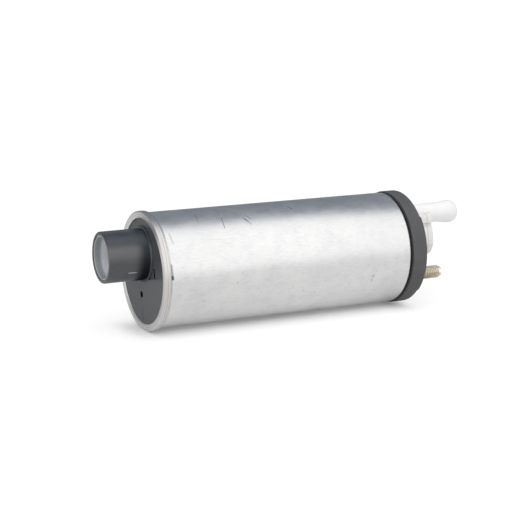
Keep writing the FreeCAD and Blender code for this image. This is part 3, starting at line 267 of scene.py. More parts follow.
def turned(name, corners, across=0.0, up=0.0, steps=96):
    """Turn a closed outline of (x, radius) corners about an axis along the pump."""
    bpy.ops.object.select_all(action="DESELECT")
    x, radius = corners[0]
    bpy.ops.mesh.primitive_plane_add(size=0.001, location=(x, 0, radius))
    piece = bpy.context.object
    piece.name = name
    bpy.ops.object.transform_apply(location=True, rotation=True, scale=True)
    bpy.ops.object.mode_set(mode="EDIT")
    bpy.ops.mesh.select_all(action="SELECT")
    bpy.ops.mesh.merge(type="CENTER")
    for next_x, next_radius in corners[1:] + corners[:1]:
        bpy.ops.mesh.extrude_vertices_move(TRANSFORM_OT_translate={"value": (next_x - x, 0, next_radius - radius)})
        x, radius = next_x, next_radius
    bpy.ops.mesh.select_all(action="SELECT")
    bpy.ops.mesh.spin(steps=steps, angle=2 * math.pi, center=(0, 0, 0), axis=(1, 0, 0))
    bpy.ops.mesh.select_all(action="SELECT")
    bpy.ops.transform.translate(value=at(0, across, up))
    return merged(piece)


def soften(piece, width):
    """Round the piece's edges and smooth its faces."""
    bevel = piece.modifiers.new("soft_edges", "BEVEL")
    bevel.width = width
    bevel.segments = 2
    bevel.limit_method = "ANGLE"
    bevel.angle_limit = math.radians(35)
    bevel.use_clamp_overlap = True
    bpy.context.view_layer.objects.active = piece
    bpy.ops.object.modifier_apply(modifier=bevel.name)
    smooth(piece)


def smooth(piece):
    """Smooth the round faces of a piece, and keep its flat ends and its faces of many corners flat."""
    bpy.ops.object.select_all(action="DESELECT")
    piece.select_set(True)
    bpy.context.view_layer.objects.active = piece
    bpy.ops.object.shade_smooth_by_angle(angle=math.radians(32))
    for face in piece.data.polygons:
        if len(face.vertices) > 6 or abs(face.normal.x) > 0.999:
            face.use_smooth = False


def dress(piece, finish, node):
    """Give a piece its finish, in place of a CAD node that is fixed to the pump's body."""
    piece.data.materials.clear()
    piece.data.materials.append(finish.material)
    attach(piece, "pump_body")
    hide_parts(node)


def metal(name, colour, dark, roughness, spread, scale, stretch):
    """Bare metal, drawn or ground along one direction, cloudy and a little dull in places."""
    finish = Finish(name, {"Metallic": 1})
    grain = finish.noise(scale, 3, stretch)
    cloud = finish.noise(90, 4)
    tone = grain * 0.5 + cloud * 0.5
    finish.give("Base Color", finish.mix(tone.rising(0.36, 0.6), dark, colour))
    finish.give("Roughness", cloud * spread + grain * (spread * 0.5) + (roughness - spread * 0.7))
    finish.bump(grain, 0.00001)
    return finish


tube = turned("tube_shell", [
    (tube_front + 0.00030, lip_bore), (tube_front + 0.00012, 0.01983), (tube_front + 0.00012, 0.01997),
    (tube_front + 0.00030, 0.02010), (tube_front + 0.00010, 0.02068), (tube_front + 0.00024, 0.02082),
    (tube_front + 0.00002, 0.02140), (tube_front + 0.00014, 0.02155), (tube_front, 0.02188),
    (tube_front + 0.00013, rim_radius - 0.00012), (tube_front + 0.0004, rim_radius),
    (tube_front + 0.0009, rim_radius), (tube_front + 0.00104, rim_radius - 0.00012),
    (tube_front + 0.00120, rim_radius - 0.00002), (tube_front + 0.0017, rim_radius),
    (tube_front + 0.00184, rim_radius - 0.00014), (tube_front + 0.00200, rim_radius - 0.00003),
    (tube_front + 0.00232, rim_radius - 0.00005), (rim_rear - 0.00008, rim_radius - 0.00030),
    (rim_rear, rim_radius - 0.00055), (rim_rear, tube_radius), (rim_rear + 0.0008, tube_radius),
    (0, tube_radius), (tube_rear - 0.00065, tube_radius), (tube_rear - 0.00019, tube_radius - 0.00019),
    (tube_rear, tube_radius - 0.00065), (tube_rear, 0.0198), (tube_rear - 0.0009, 0.0198),
    (tube_rear - 0.0009, tube_bore), (tube_front + 0.0012, tube_bore), (tube_front + 0.0012, lip_bore),
], steps=160)
soften(tube, 0.00004)

# The aluminium: fine grain along the tube, dull mottled patches, dark specks on the lower side and thin
# scratches, each drawn between two places that are given by station and by distance round from the top.
# The rim is a little darker and warmer, with painted shade: dark lines for the shade of its ridges, a dark
# line in the crease behind it and two dark marks for the shade of dents there. A pale ring along the lip's
# inner edge is a painted highlight.
aluminium = Finish("brushed_aluminium", {"Metallic": 1})
grain = aluminium.noise(1300, 4, (0.35, 1, 1))
fine = aluminium.noise(2600, 3, (0.5, 1, 1), (0.2, 0, 0))
mottle = aluminium.noise(230, 5, (0.85, 1, 1), (0.1, 0.4, 0.2))
patch = aluminium.noise(60, 4, (0.7, 1, 1), (0.5, 0.1, 0))
station, far, high = (aluminium.measured(axis) for axis in "XYZ")
round_way = (far * -1).maths("ARCTAN2", high) * tube_radius


def thin_mark(start, end, width, jag=0.0006):
    """A thin mark between two places on the tube, 1 on it and 0 beside it."""
    length = math.hypot(end[0] - start[0], end[1] - start[1])
    way = ((end[0] - start[0]) / length, (end[1] - start[1]) / length)
    wander = (mottle - 0.5) * jag
    beside = ((station - start[0]) * -way[1] + (round_way - start[1]) * way[0] + wander).maths("ABSOLUTE")
    middle = ((station - (start[0] + end[0]) / 2) * way[0] + (round_way - (start[1] + end[1]) / 2) * way[1])
    return beside.rising(width, width * 0.35) * middle.maths("ABSOLUTE").rising(length / 2, length / 2 - 0.0006)


# Scratches, and two wide dark marks at the rim's crease, near station -0.048, that are painted shade of dents.
scratches_and_dent_shade = thin_mark((-0.0241, 0.0157), (-0.0236, 0.0092), 0.00016, 0.0008) * 0.75
for start, end, width, strength in (
    ((-0.0235, 0.0086), (-0.0230, 0.0022), 0.00014, 0.45), ((-0.0334, 0.0116), (-0.0321, 0.0057), 0.00013, 0.5),
    ((-0.0156, 0.0104), (-0.0128, 0.0150), 0.00015, 0.75), ((-0.0139, 0.0094), (-0.0120, 0.0119), 0.00017, 0.8),
    ((-0.0149, 0.0115), (-0.0131, 0.0135), 0.00014, 0.7), ((-0.0146, 0.0098), (-0.0140, 0.0130), 0.00013, 0.6),
    ((0.0053, 0.0055), (0.0066, 0.0089), 0.00020, 0.6), ((0.0062, 0.0050), (0.0065, 0.0085), 0.00016, 0.5),
    ((-0.0482, 0.0312), (-0.0479, 0.0335), 0.00075, 0.9), ((-0.0481, 0.0272), (-0.0479, 0.0318), 0.00055, 0.45),
    ((-0.0462, 0.0150), (-0.0458, 0.0205), 0.00040, 0.25), ((-0.0330, 0.0196), (-0.0200, 0.0203), 0.00012, 0.15),
):
    scratches_and_dent_shade = scratches_and_dent_shade.maths("MAXIMUM", thin_mark(start, end, width) * strength)
radial = (far * far + high * high).maths("SQRT")
rim = station.rising(rim_rear + 0.0003, rim_rear - 0.0001)
# Painted shade: dark rings round the rim's front face and along its side, for the shade of its ridges.
rim_ridge_shade = (radial * 8200).maths("SINE").rising(0.2, 1) * station.rising(tube_front + 0.0005, tube_front + 0.0002)
rim_side_ridge_shade = (station * 7400).maths("SINE").rising(0.3, 1) * station.rising(tube_front + 0.0002, tube_front + 0.0006)
# Painted shade: a dark line in the crease behind the rim, broken up by the mottle.
crease_shade = station.rising(rim_rear - 0.00035, rim_rear) * station.rising(rim_rear + 0.0007, rim_rear + 0.0001)
specks = aluminium.noise(520, 3, (0.8, 1, 1), (0.7, 0.2, 0.9)).rising(0.66, 0.76) * round_way.rising(0.018, 0.040)
tone = grain * 0.35 + fine * 0.25 + mottle * 0.4
aluminium.give("Base Color", aluminium.mix(tone.rising(0.36, 0.60), (0.89, 0.89, 0.90, 1), (1.0, 0.995, 0.985, 1)))
# The pale ring at the lip's inner edge, below, is a painted highlight.
for mask, colour in (
    (patch.rising(0.45, 0.68) * 0.25, (0.83, 0.83, 0.835, 1)),
    (rim * 0.65, (0.80, 0.775, 0.745, 1)),
    (rim * (rim_ridge_shade * 0.75 + rim_side_ridge_shade * 0.55), (0.46, 0.44, 0.42, 1)),
    (radial.rising(lip_bore + 0.00028, lip_bore + 0.00018), (0.97, 0.97, 0.96, 1)),
    (crease_shade * (mottle.rising(0.35, 0.65) * 0.5 + 0.2), (0.22, 0.22, 0.23, 1)),
    (specks * 0.35, (0.34, 0.32, 0.31, 1)),
    (scratches_and_dent_shade, (0.06, 0.065, 0.08, 1)),
):
    aluminium.paint(mask, colour)
aluminium.give("Roughness", mottle * 0.18 + grain * 0.12 + patch * 0.08 + scratches_and_dent_shade * 0.3 + 0.14)
aluminium.bump(grain * 0.7 + fine * 0.4 + mottle * 0.8 - scratches_and_dent_shade * 3, 0.000015)
dress(tube, aluminium, "housing_tube")


# Inlet cover: dark moulded disc, sealed in a groove and held by the tube's lip. Its lower part stands out
# a little, and it has a seat for the pipe, a vent hole, a slot and a fine line left by the mould.
cover_front, cover_face, cover_rear = -0.05085, -0.05025, -0.04295
lip_seat, seal_front, seal_rear = -0.04995, -0.04755, -0.04525
face_edge, land_radius, groove_radius = 0.0196, 0.0204, 0.01848
ahead, behind = -0.053, -0.042
pipe_up, collar_radius, socket_radius, socket_depth, passage_radius = 0.00635, 0.0105, 0.0085, 0.004, 0.007
vent_place, vent_radius = (0.00354, -0.00851), 0.00125
play = 0.00001


def cut(piece, cutter, operation="DIFFERENCE"):
    """Cut one shape out of a piece, or join it on, and take the shape away."""
    boolean = piece.modifiers.new("cut", "BOOLEAN")
    boolean.operation = operation
    boolean.solver = "EXACT"
    boolean.object = cutter
    bpy.context.view_layer.objects.active = piece
    bpy.ops.object.modifier_apply(modifier=boolean.name)
    bpy.data.objects.remove(cutter)


def rod(start, end, radius, across=0.0, up=0.0, steps=64):
    """A round rod along the pump."""
    bpy.ops.object.select_all(action="DESELECT")
    bpy.ops.mesh.primitive_cylinder_add(vertices=steps, radius=radius, depth=end - start,
                                        location=at((start + end) / 2, across, up), rotation=(0, math.pi / 2, 0))
    bpy.ops.object.transform_apply(location=True, rotation=True, scale=True)
    return bpy.context.object


def block(along, across, up):
    """A block between two stations in each of the pump's own directions."""
    bpy.ops.object.select_all(action="DESELECT")
    bpy.ops.mesh.primitive_cube_add(size=1, location=at(sum(along) / 2, sum(across) / 2, sum(up) / 2),
                                    rotation=(-roll, 0, 0))
    piece = bpy.context.object
    piece.scale = (along[1] - along[0], across[1] - across[0], up[1] - up[0])
    bpy.ops.object.transform_apply(location=True, rotation=True, scale=True)
    return piece


def moulded(name, colour, pale, roughness, grain=2500, depth=0.00002, coat=0.0):
    """Moulded plastic or rubber: fine grain from the mould, faint clouds and a few pale scuffs."""
    finish = Finish(name, {"Coat Weight": coat, "Coat Roughness": 0.2})
    fine = finish.noise(grain, 3)
    cloud = finish.noise(160, 4)
    scuff = finish.noise(420, 5, (1, 0.35, 1), (0.3, 0.1, 0.2)).rising(0.6, 0.78)
    finish.give("Base Color", finish.mix(cloud.rising(0.35, 0.7) * 0.45 + scuff * 0.35, colour, pale))
    finish.give("Roughness", cloud * 0.16 + fine * 0.12 + (roughness - 0.14))
    finish.bump(fine + cloud * 0.6, depth)
    return finish


cover = turned("inlet_cover_moulding", [
    (cover_front, 0.0), (cover_front, face_edge), (lip_seat, face_edge), (lip_seat, land_radius),
    (seal_front, land_radius), (seal_front, groove_radius), (seal_rear, groove_radius), (seal_rear, land_radius),
    (cover_rear, land_radius), (cover_rear, 0.0),
], steps=128)
cut(cover, block((ahead, cover_face), (-0.022, 0.022), (-0.00337, 0.022)))  # the face above the step
cut(cover, rod(ahead, cover_face, collar_radius + play, up=pipe_up, steps=96))  # room for the pipe's collar
cut(cover, rod(ahead, cover_face + socket_depth, socket_radius + play, up=pipe_up))  # socket of the pipe
cut(cover, rod(ahead, behind, passage_radius, up=pipe_up))  # passage of the fuel
cut(cover, rod(cover_rear - 0.0015, behind, 0.009, -0.0045, 0.003))  # hollow over the pump's inlet
cut(cover, rod(cover_rear - 0.0064, behind, 0.002, *vent_place, steps=32))  # chamber of the relief valve
cut(cover, rod(ahead, -0.049, vent_radius, *vent_place, steps=32))  # vent hole
cut(cover, block((ahead, cover_face + 0.002), (-0.01020, -0.00905), (-0.00315, 0.00045)))  # slot
cut(cover, block((ahead, cover_front + 0.0003), (0.00425, 0.00455), (-0.018, -0.0132)))  # mould line
soften(cover, 0.00009)
dark_plastic = moulded("dark_moulding", (0.068, 0.072, 0.077, 1), (0.098, 0.100, 0.105, 1), 0.42)
# Painted shade: the vent hole and every face behind the front face, in the slot, the socket and the other holes, are
# painted near black and shown through a plain black diffuse shader.
depth = dark_plastic.measured("X")
vent = at(0, *vent_place)
from_vent = dark_plastic.node("ShaderNodeVectorMath", {"operation": "LENGTH"}, {
    0: dark_plastic.place((0, 1, 1), (0, -vent.y, -vent.z))}, "Value")
vent_shade = from_vent.rising(vent_radius + 0.00011, vent_radius + 0.00005) * depth.rising(
    cover_front + 0.00003, cover_front + 0.00012)
inside = depth.rising(cover_face + 0.00003, cover_face + 0.00012).maths("MAXIMUM", vent_shade)
unlit = (0.008, 0.008, 0.009, 1)
dark_plastic.paint(inside, unlit)
dark_plastic.veil(inside, dark_plastic.node("ShaderNodeBsdfDiffuse", {}, {"Color": unlit}))
dress(cover, dark_plastic, "inlet_cover")


# Inlet pipe: wide pipe of the same dark plastic, with a collar round its foot, pushed into the cover's
# socket. Its foot is painted dark as shade from the cover, its side has a painted light band and a painted
# shade band along the top half, and it has one short pale tick.
pipe_tip, pipe_foot = -0.06663, -0.05025
collar_front = pipe_foot - 0.0009
pipe_radius, pipe_bore = 0.00955, 0.00825
pipe = turned("inlet_pipe_moulding", [
    (pipe_tip, pipe_bore), (pipe_tip, pipe_radius - 0.0005), (pipe_tip + 0.00015, pipe_radius - 0.00015),
    (pipe_tip + 0.0005, pipe_radius), (collar_front, pipe_radius), (collar_front, collar_radius - 0.00023),
    (collar_front + 0.00007, collar_radius - 0.00007), (collar_front + 0.00023, collar_radius),
    (pipe_foot, collar_radius), (pipe_foot, socket_radius), (pipe_foot + socket_depth, socket_radius),
    (pipe_foot + socket_depth, passage_radius), (pipe_tip + 0.0096, passage_radius), (pipe_tip + 0.0096, pipe_bore),
], up=pipe_up, steps=128)
soften(pipe, 0.0001)
pipe_plastic = moulded("pipe_moulding", (0.062, 0.065, 0.071, 1), (0.105, 0.106, 0.110, 1), 0.36, coat=0.15)
along = pipe_plastic.measured("X")
above = pipe_plastic.measured("Z")
# Painted shade: darker towards the collar, and on the lower side there a plain dark diffuse shader shows through.
foot_shade = along.rising(pipe_foot - 0.0068, pipe_foot - 0.0022) * (
    1 - along.rising(collar_front - 0.00008, collar_front + 0.0001))
# A painted light band along the upper middle of the side, and a painted shade band just below the top.
lit_band = above.rising(0.0045, 0.0090) * above.rising(0.0133, 0.0100) * (1 - foot_shade)
shaded = above.rising(0.0100, 0.0125) * above.rising(0.0157, 0.0150)
tick = (above + along * 0.02 - 0.0002).maths("ABSOLUTE").rising(0.00022, 0.00010)
tick = tick * along.rising(-0.0594, -0.0588) * along.rising(-0.0555, -0.0563)
for mask, colour in (
    (foot_shade, (0.004, 0.008, 0.013, 1)),
    (lit_band * 0.6, (0.135, 0.131, 0.131, 1)),
    (shaded * 0.75, (0.026, 0.036, 0.047, 1)),
    (tick, (0.42, 0.45, 0.47, 1)),
):
    pipe_plastic.paint(mask, colour)
pipe_plastic.veil(foot_shade * above.rising(0.0115, -0.001) * 0.85, pipe_plastic.node("ShaderNodeBsdfDiffuse", {}, {
    "Color": (0.003, 0.008, 0.011, 1)}))
dress(pipe, pipe_plastic, "inlet_pipe")


# Inlet screen: a sleeve of milky nylon, snapped into the pipe, and in it a strainer woven from fine
# nylon threads, each passing over and under the ones it crosses.
sleeve_front = -0.06633
sleeve = turned("screen_sleeve", [
    (sleeve_front, 0.00775), (sleeve_front, 0.0082), (sleeve_front + 0.009, 0.0082), (sleeve_front + 0.009, 0.007),
    (sleeve_front + 0.00525, 0.007), (sleeve_front + 0.00525, 0.00735), (sleeve_front + 0.0031, 0.00735),
    (sleeve_front + 0.0031, 0.00775),
], up=pipe_up, steps=96)
soften(sleeve, 0.0001)
# Painted light and shade: the dark grey-blue is the milky nylon as it looks in shade against the dark pipe, and the
# front lip and the inner wall deeper in are painted pale, as lit.
milky = moulded("milky_nylon", (0.24, 0.26, 0.27, 1), (0.36, 0.38, 0.39, 1), 0.26, 1800, coat=1.0)
deep = milky.measured("X")
lip = deep.rising(sleeve_front + 0.0003, sleeve_front + 0.0001) * 0.4
lit_inner_wall = deep.rising(sleeve_front + 0.0016, sleeve_front + 0.0038)
milky.paint(lip + lit_inner_wall, (0.70, 0.73, 0.77, 1))
dress(sleeve, milky, "inlet_screen_frame")

net_x, net_radius, net_pitch, thread_radius = -0.061205, 0.0073, 0.0006, 0.00009
wave_height = 0.00003
bpy.ops.object.select_all(action="DESELECT")
bpy.ops.mesh.primitive_circle_add(vertices=6, radius=thread_radius, location=(0, 0, 0), rotation=(0, math.pi / 2, 0))
first_thread = bpy.context.object
bpy.ops.object.transform_apply(location=True, rotation=True, scale=True)
bpy.ops.object.mode_set(mode="EDIT")
bpy.ops.mesh.select_all(action="SELECT")
bpy.ops.mesh.edge_face_add()
runs = int(net_radius / net_pitch)
bpy.ops.transform.translate(value=(-(runs + 1) * net_pitch, 0, -wave_height))
for step in range(2 * runs + 2):
    rise = 2 * wave_height if step % 2 == 0 else -2 * wave_height
    bpy.ops.mesh.extrude_region_move(TRANSFORM_OT_translate={"value": (net_pitch, 0, rise)})
merged(first_thread)
threads = []
for direction in (0, 1):
    for line in range(-runs, runs + 1):
        thread = first_thread.copy()
        thread.data = first_thread.data.copy()
        bpy.context.scene.collection.objects.link(thread)
        offset = line * net_pitch
        half = math.sqrt(net_radius ** 2 - offset ** 2)
        bpy.ops.object.select_all(action="DESELECT")
        thread.select_set(True)
        bpy.context.view_layer.objects.active = thread
        bpy.ops.object.mode_set(mode="EDIT")
        for side in (-1, 1):
            bpy.ops.mesh.select_all(action="SELECT")
            bpy.ops.mesh.bisect(plane_co=(side * half, 0, 0), plane_no=(side, 0, 0), use_fill=True, clear_outer=True)
        bpy.ops.object.mode_set(mode="OBJECT")
        flip = math.pi if (line + direction) % 2 else 0.0
        thread.data.transform(Matrix.Rotation(flip, 4, "X"))
        thread.data.transform(Matrix.Translation((0, offset, 0)))
        thread.data.transform(Matrix.Rotation(direction * math.pi / 2, 4, "Z"))
        thread.data.transform(Matrix.Translation(at(net_x, 0, pipe_up)) @ Matrix.Rotation(-roll, 4, "X")
                              @ Matrix.Rotation(math.pi / 2, 4, "Y"))
        threads.append(thread)
bpy.data.objects.remove(first_thread)
net = turned("strainer_net", [
    (net_x - 0.000115, 0.0069), (net_x - 0.000115, 0.00734), (net_x + 0.000115, 0.00734), (net_x + 0.000115, 0.0069),
], up=pipe_up, steps=64)
bpy.ops.object.select_all(action="DESELECT")
for thread in threads:
    thread.select_set(True)
net.select_set(True)
bpy.context.view_layer.objects.active = net
bpy.ops.object.join()
smooth(net)
thread_nylon = moulded("nylon_thread", (0.42, 0.39, 0.34, 1), (0.60, 0.56, 0.49, 1), 0.4, 4000)
dress(net, thread_nylon, "inlet_screen_mesh")


# Rear cushion ring: black rubber, stretched round the outlet cover. A neck fills the gap to the tube,
# and the rear edge stands back a little at the top and at the bottom.
ring_front, ring_rear, ring_radius, ring_bore = 0.05207, 0.05827, 0.02195, 0.01931
cushion = turned("cushion_ring_rubber", [
    (tube_rear, ring_bore), (tube_rear, 0.02065), (ring_front, 0.02065), (ring_front, ring_radius - 0.00025),
    (ring_front + 0.00007, ring_radius - 0.00007), (ring_front + 0.00025, ring_radius),
    (ring_rear - 0.00075, ring_radius), (ring_rear - 0.00046, ring_radius - 0.00006),
    (ring_rear - 0.00022, ring_radius - 0.00022), (ring_rear - 0.00006, ring_radius - 0.00046),
    (ring_rear, ring_radius - 0.00075), (ring_rear, ring_bore),
], steps=180)
bpy.ops.object.mode_set(mode="EDIT")
bpy.ops.mesh.select_all(action="DESELECT")
bpy.ops.object.mode_set(mode="OBJECT")
for vertex in cushion.data.vertices:
    from_top = math.degrees(math.atan2(vertex.co.y, vertex.co.z) - roll)
    from_top = abs((from_top + 180) % 360 - 180)
    vertex.select = vertex.co.x > ring_rear - 0.0008 and (from_top < 63 or from_top > 146.5)
bpy.ops.object.mode_set(mode="EDIT")
bpy.ops.transform.translate(value=(-0.0005, 0, 0))
bpy.ops.object.mode_set(mode="OBJECT")
smooth(cushion)
rubber = moulded("black_rubber", (0.080, 0.080, 0.083, 1), (0.115, 0.114, 0.115, 1), 0.6, 3200, 0.00003)
# Painted shade: the neck and the front face of the ring, in the narrow gap behind the tube's end, are painted near
# black.
rubber.paint(rubber.measured("X").rising(ring_front + 0.00003, ring_front - 0.00008), (0.006, 0.007, 0.010, 1))
dress(cushion, rubber, "rear_cushion_ring")


# Outlet cover: disc of natural nylon, held by the tube's rolled edge. Inside it are the room for the
# outlet valve, the seat of the rear bush and two pockets, and the two studs pass through it.
outlet_front, shoulder, outer_face = 0.044, 0.05025, 0.0574
face_radius, shaft_room = 0.0193, 0.0036
nipple_up, nipple_radius, nipple_bore = 0.01175, 0.00395, 0.0026
nipple_foot = outer_face - 0.001
stud_across, stud_up = 0.00925, -0.01167
inner_side, outer_side = 0.043, 0.059
cover_end = turned("outlet_cover_moulding", [
    (outlet_front, 0.0), (outlet_front, land_radius), (outlet_front + 0.0015, land_radius),
    (outlet_front + 0.0015, groove_radius), (outlet_front + 0.0038, groove_radius),
    (outlet_front + 0.0038, land_radius), (shoulder, land_radius), (shoulder, face_radius),
    (outer_face, face_radius), (outer_face, 0.0),
], steps=128)
cut(cover_end, rod(inner_side, outlet_front + 0.012, 0.0042, up=nipple_up))  # room of the outlet valve
cut(cover_end, rod(0.055, outer_side, nipple_bore, up=nipple_up))  # way out to the nipple
cut(cover_end, rod(nipple_foot, outer_side, nipple_radius + play, up=nipple_up))  # seat of the nipple
cut(cover_end, rod(inner_side, outlet_front + 0.007, 0.00461))  # seat of the rear bush
cut(cover_end, rod(inner_side, outlet_front + 0.001, 0.0052))  # its wider mouth
cut(cover_end, rod(0.05, outer_side, shaft_room))  # room for the shaft's end
for side in (-1, 1):
    cut(cover_end, rod(inner_side, outlet_front + 0.011, 0.0046, side * 0.0122, 0.0015))  # pocket
for side, hole in ((-1, 0.00231), (1, 0.00181)):
    cut(cover_end, rod(inner_side, outer_side, hole, side * stud_across, stud_up, steps=40))  # hole of a stud
    seal_room = rod(inner_side, outlet_front + 0.001, hole + 0.00094, side * stud_across, stud_up, steps=40)
    cut(cover_end, seal_room)
soften(cover_end, 0.0001)
nylon = moulded("natural_nylon", (0.80, 0.78, 0.75, 1), (0.88, 0.87, 0.85, 1), 0.34, 2200)
dress(cover_end, nylon, "outlet_cover")


# Outlet turret: hollow nylon block over the shaft's end, welded to the cover. Its wide top carries the
# nipple, its foot is round, and a fine groove runs round it under its cap.
turret_end = 0.07055
groove_front, groove_rear, groove_depth = 0.0680, 0.0684, 0.0003
turret = block((outer_face, turret_end), (-0.007, 0.007), (0.0077, 0.012))
turret.name = "turret_moulding"
bpy.ops.object.mode_set(mode="EDIT")
bpy.ops.mesh.select_mode(type="EDGE")
bpy.ops.mesh.select_all(action="DESELECT")
bpy.ops.object.mode_set(mode="OBJECT")
for edge in turret.data.edges:
    ends = [turret.data.vertices[number].co for number in edge.vertices]
    on_top = min(end.dot(at(0, 0, 1)) for end in ends) > 0.0119
    edge.select = on_top and abs(ends[0].x - ends[1].x) > 0.01
bpy.ops.object.mode_set(mode="EDIT")
bpy.ops.mesh.bevel(offset=0.0025, segments=10, affect="EDGES")
bpy.ops.mesh.select_mode(type="VERT")
bpy.ops.object.mode_set(mode="OBJECT")
cut(turret, block((outer_face, turret_end), (-0.006, 0.006), (0.0055, 0.0078)), "UNION")
foot = rod(outer_face, turret_end, 0.00645, up=0.00185, steps=96)
cut(foot, block((outer_face, turret_end), (-0.00645, 0.00645), (0.00185, 0.0061)), "UNION")
cut(turret, foot, "UNION")
bpy.ops.object.select_all(action="DESELECT")
turret.select_set(True)
bpy.context.view_layer.objects.active = turret
bpy.ops.object.mode_set(mode="EDIT")
for edge_of_groove in (groove_front, groove_rear):
    bpy.ops.mesh.select_all(action="SELECT")
    bpy.ops.mesh.bisect(plane_co=(edge_of_groove, 0, 0), plane_no=(1, 0, 0))
bpy.ops.mesh.select_all(action="DESELECT")
bpy.ops.object.mode_set(mode="OBJECT")
for face in turret.data.polygons:
    face.select = groove_front < face.center.x < groove_rear and abs(face.normal.x) < 0.1
bpy.ops.object.mode_set(mode="EDIT")
bpy.ops.mesh.select_mode(type="FACE")
bpy.ops.mesh.extrude_region_shrink_fatten(TRANSFORM_OT_shrink_fatten={"value": -groove_depth})
bpy.ops.mesh.select_mode(type="VERT")
bpy.ops.object.mode_set(mode="OBJECT")
cut(turret, rod(0.057, 0.0684, shaft_room))  # hollow over the shaft's end
cut(turret, rod(0.057, 0.072, nipple_radius + play, up=nipple_up))  # hole of the nipple
soften(turret, 0.00012)
dress(turret, nylon, "outlet_turret")


# Outlet nipple: the short nylon pipe that the fuel hose is pushed onto, 7.9 mm across. It is welded into
# the cover, and the rounded barb at its tip holds the hose.
nipple = turned("nipple_moulding", [
    (nipple_foot, nipple_bore), (nipple_foot, nipple_radius), (0.0770, nipple_radius), (0.0790, 0.00422),
    (0.0806, 0.00445), (0.0810, 0.0045), (0.0824, 0.0045), (0.0832, 0.00436), (0.0839, 0.00407),
    (0.0845, 0.00370), (0.0849, 0.00332), (0.08505, 0.0030), (0.08505, nipple_bore),
], up=nipple_up, steps=96)
soften(nipple, 0.00008)
pale_nylon = moulded("pale_nylon", (0.90, 0.885, 0.885, 1), (0.95, 0.94, 0.935, 1), 0.36, 2200)
dress(nipple, pale_nylon, "outlet_nipple")


# Terminal studs: steel, yellow plated, threaded M5 and M4, with a screwdriver slot across the tip. Their
# heads and shanks are moulded into the outlet cover.
head_front, head_rear, stud_tip = 0.042, 0.044, 0.0702
tip_slot_width, tip_slot_depth = 0.0012, 0.0013
plated = metal("yellow_plated_steel", (0.95, 0.88, 0.74, 1), (0.78, 0.70, 0.56, 1), 0.26, 0.1, 1400, (1, 1, 1))
for name, side, radius, pitch in (("positive", -1, 0.0025, 0.0008), ("negative", 1, 0.0020, 0.0007)):
    root, shank = radius - 0.55 * pitch, radius - 0.0002
    stud = turned(f"stud_{name}", [
        (head_front, 0.0), (head_front, 0.0036), (head_rear, 0.0036), (head_rear, shank), (outer_face, shank),
        (outer_face, root), (stud_tip - 0.0006, root), (stud_tip, root - 0.0005), (stud_tip, 0.0),
    ], side * stud_across, stud_up, steps=48)
    soften(stud, 0.0001)
    bpy.ops.object.select_all(action="DESELECT")
    bpy.ops.mesh.primitive_plane_add(size=0.0001, location=(outer_face, 0, root - 0.0001))
    ridge = bpy.context.object
    bpy.ops.object.transform_apply(location=True, rotation=True, scale=True)
    bpy.ops.object.mode_set(mode="EDIT")
    bpy.ops.mesh.select_all(action="SELECT")
    bpy.ops.mesh.merge(type="CENTER")
    rise = radius - root + 0.0001
    for run, out in ((pitch * 0.44, rise), (pitch * 0.12, 0), (pitch * 0.44, -rise), (-pitch, 0)):
        bpy.ops.mesh.extrude_vertices_move(TRANSFORM_OT_translate={"value": (run, 0, out)})
    bpy.ops.mesh.select_all(action="SELECT")
    bpy.ops.mesh.remove_doubles(threshold=1e-7)
    bpy.ops.object.mode_set(mode="OBJECT")
    screw = ridge.modifiers.new("thread", "SCREW")
    screw.axis = "X"
    screw.screw_offset = pitch
    screw.steps = 32
    screw.render_steps = 32
    screw.iterations = int((stud_tip - 0.0012 - outer_face) / pitch)
    bpy.ops.object.modifier_apply(modifier=screw.name)
    bpy.ops.object.mode_set(mode="EDIT")
    bpy.ops.mesh.select_all(action="SELECT")
    bpy.ops.mesh.fill_holes(sides=0)
    bpy.ops.mesh.select_all(action="SELECT")
    bpy.ops.transform.translate(value=at(0, side * stud_across, stud_up))
    merged(ridge)
    smooth(ridge)
    slot_cutter = block((stud_tip - tip_slot_depth, stud_tip + 0.001),
                        (side * stud_across - 0.004, side * stud_across + 0.004),
                        (stud_up - tip_slot_width / 2, stud_up + tip_slot_width / 2))
    second_cutter = slot_cutter.copy()
    second_cutter.data = slot_cutter.data.copy()
    bpy.context.scene.collection.objects.link(second_cutter)
    cut(stud, slot_cutter)
    cut(ridge, second_cutter)
    bpy.ops.object.select_all(action="DESELECT")
    ridge.select_set(True)
    stud.select_set(True)
    bpy.context.view_layer.objects.active = stud
    bpy.ops.object.join()
    smooth(stud)
    dress(stud, plated, f"terminal_stud_{name}")


# Pump stack: plates, cam ring and rotors, pressed from steel powder, sintered and ground flat on their
# faces, so the metal is speckled with fine dark pores. Two dowels line the stack up.
def sintered(name, colour, pore, roughness):
    """Sintered metal: even, with fine dark pores and a faint haze of oil."""
    finish = Finish(name, {"Metallic": 0.9})
    pores = finish.noise(2600, 4).rising(0.52, 0.72)
    haze = finish.noise(140, 3)
    finish.give("Base Color", finish.mix(pores * 0.8 + haze * 0.2, colour, pore))
    finish.give("Roughness", pores * 0.25 + haze * 0.1 + roughness)
    finish.bump(1 - pores, 0.00002)
    return finish


def finished(nodes, finish):
    """Give CAD nodes whose shape is right their finish."""
    for node in nodes:
        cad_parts[node].data.materials.clear()
        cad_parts[node].data.materials.append(finish.material)


finished(["pump_inlet_plate", "pump_cam_ring", "outer_rotor", "inner_rotor", "pump_outlet_plate"],
         sintered("sintered_steel", (0.42, 0.43, 0.44, 1), (0.12, 0.12, 0.13, 1), 0.32))
ground_steel = metal("ground_steel", (0.66, 0.66, 0.67, 1), (0.50, 0.50, 0.52, 1), 0.2, 0.1, 1800, (0.2, 1, 1))
finished(["rotor_pin", "locating_pins"], ground_steel)


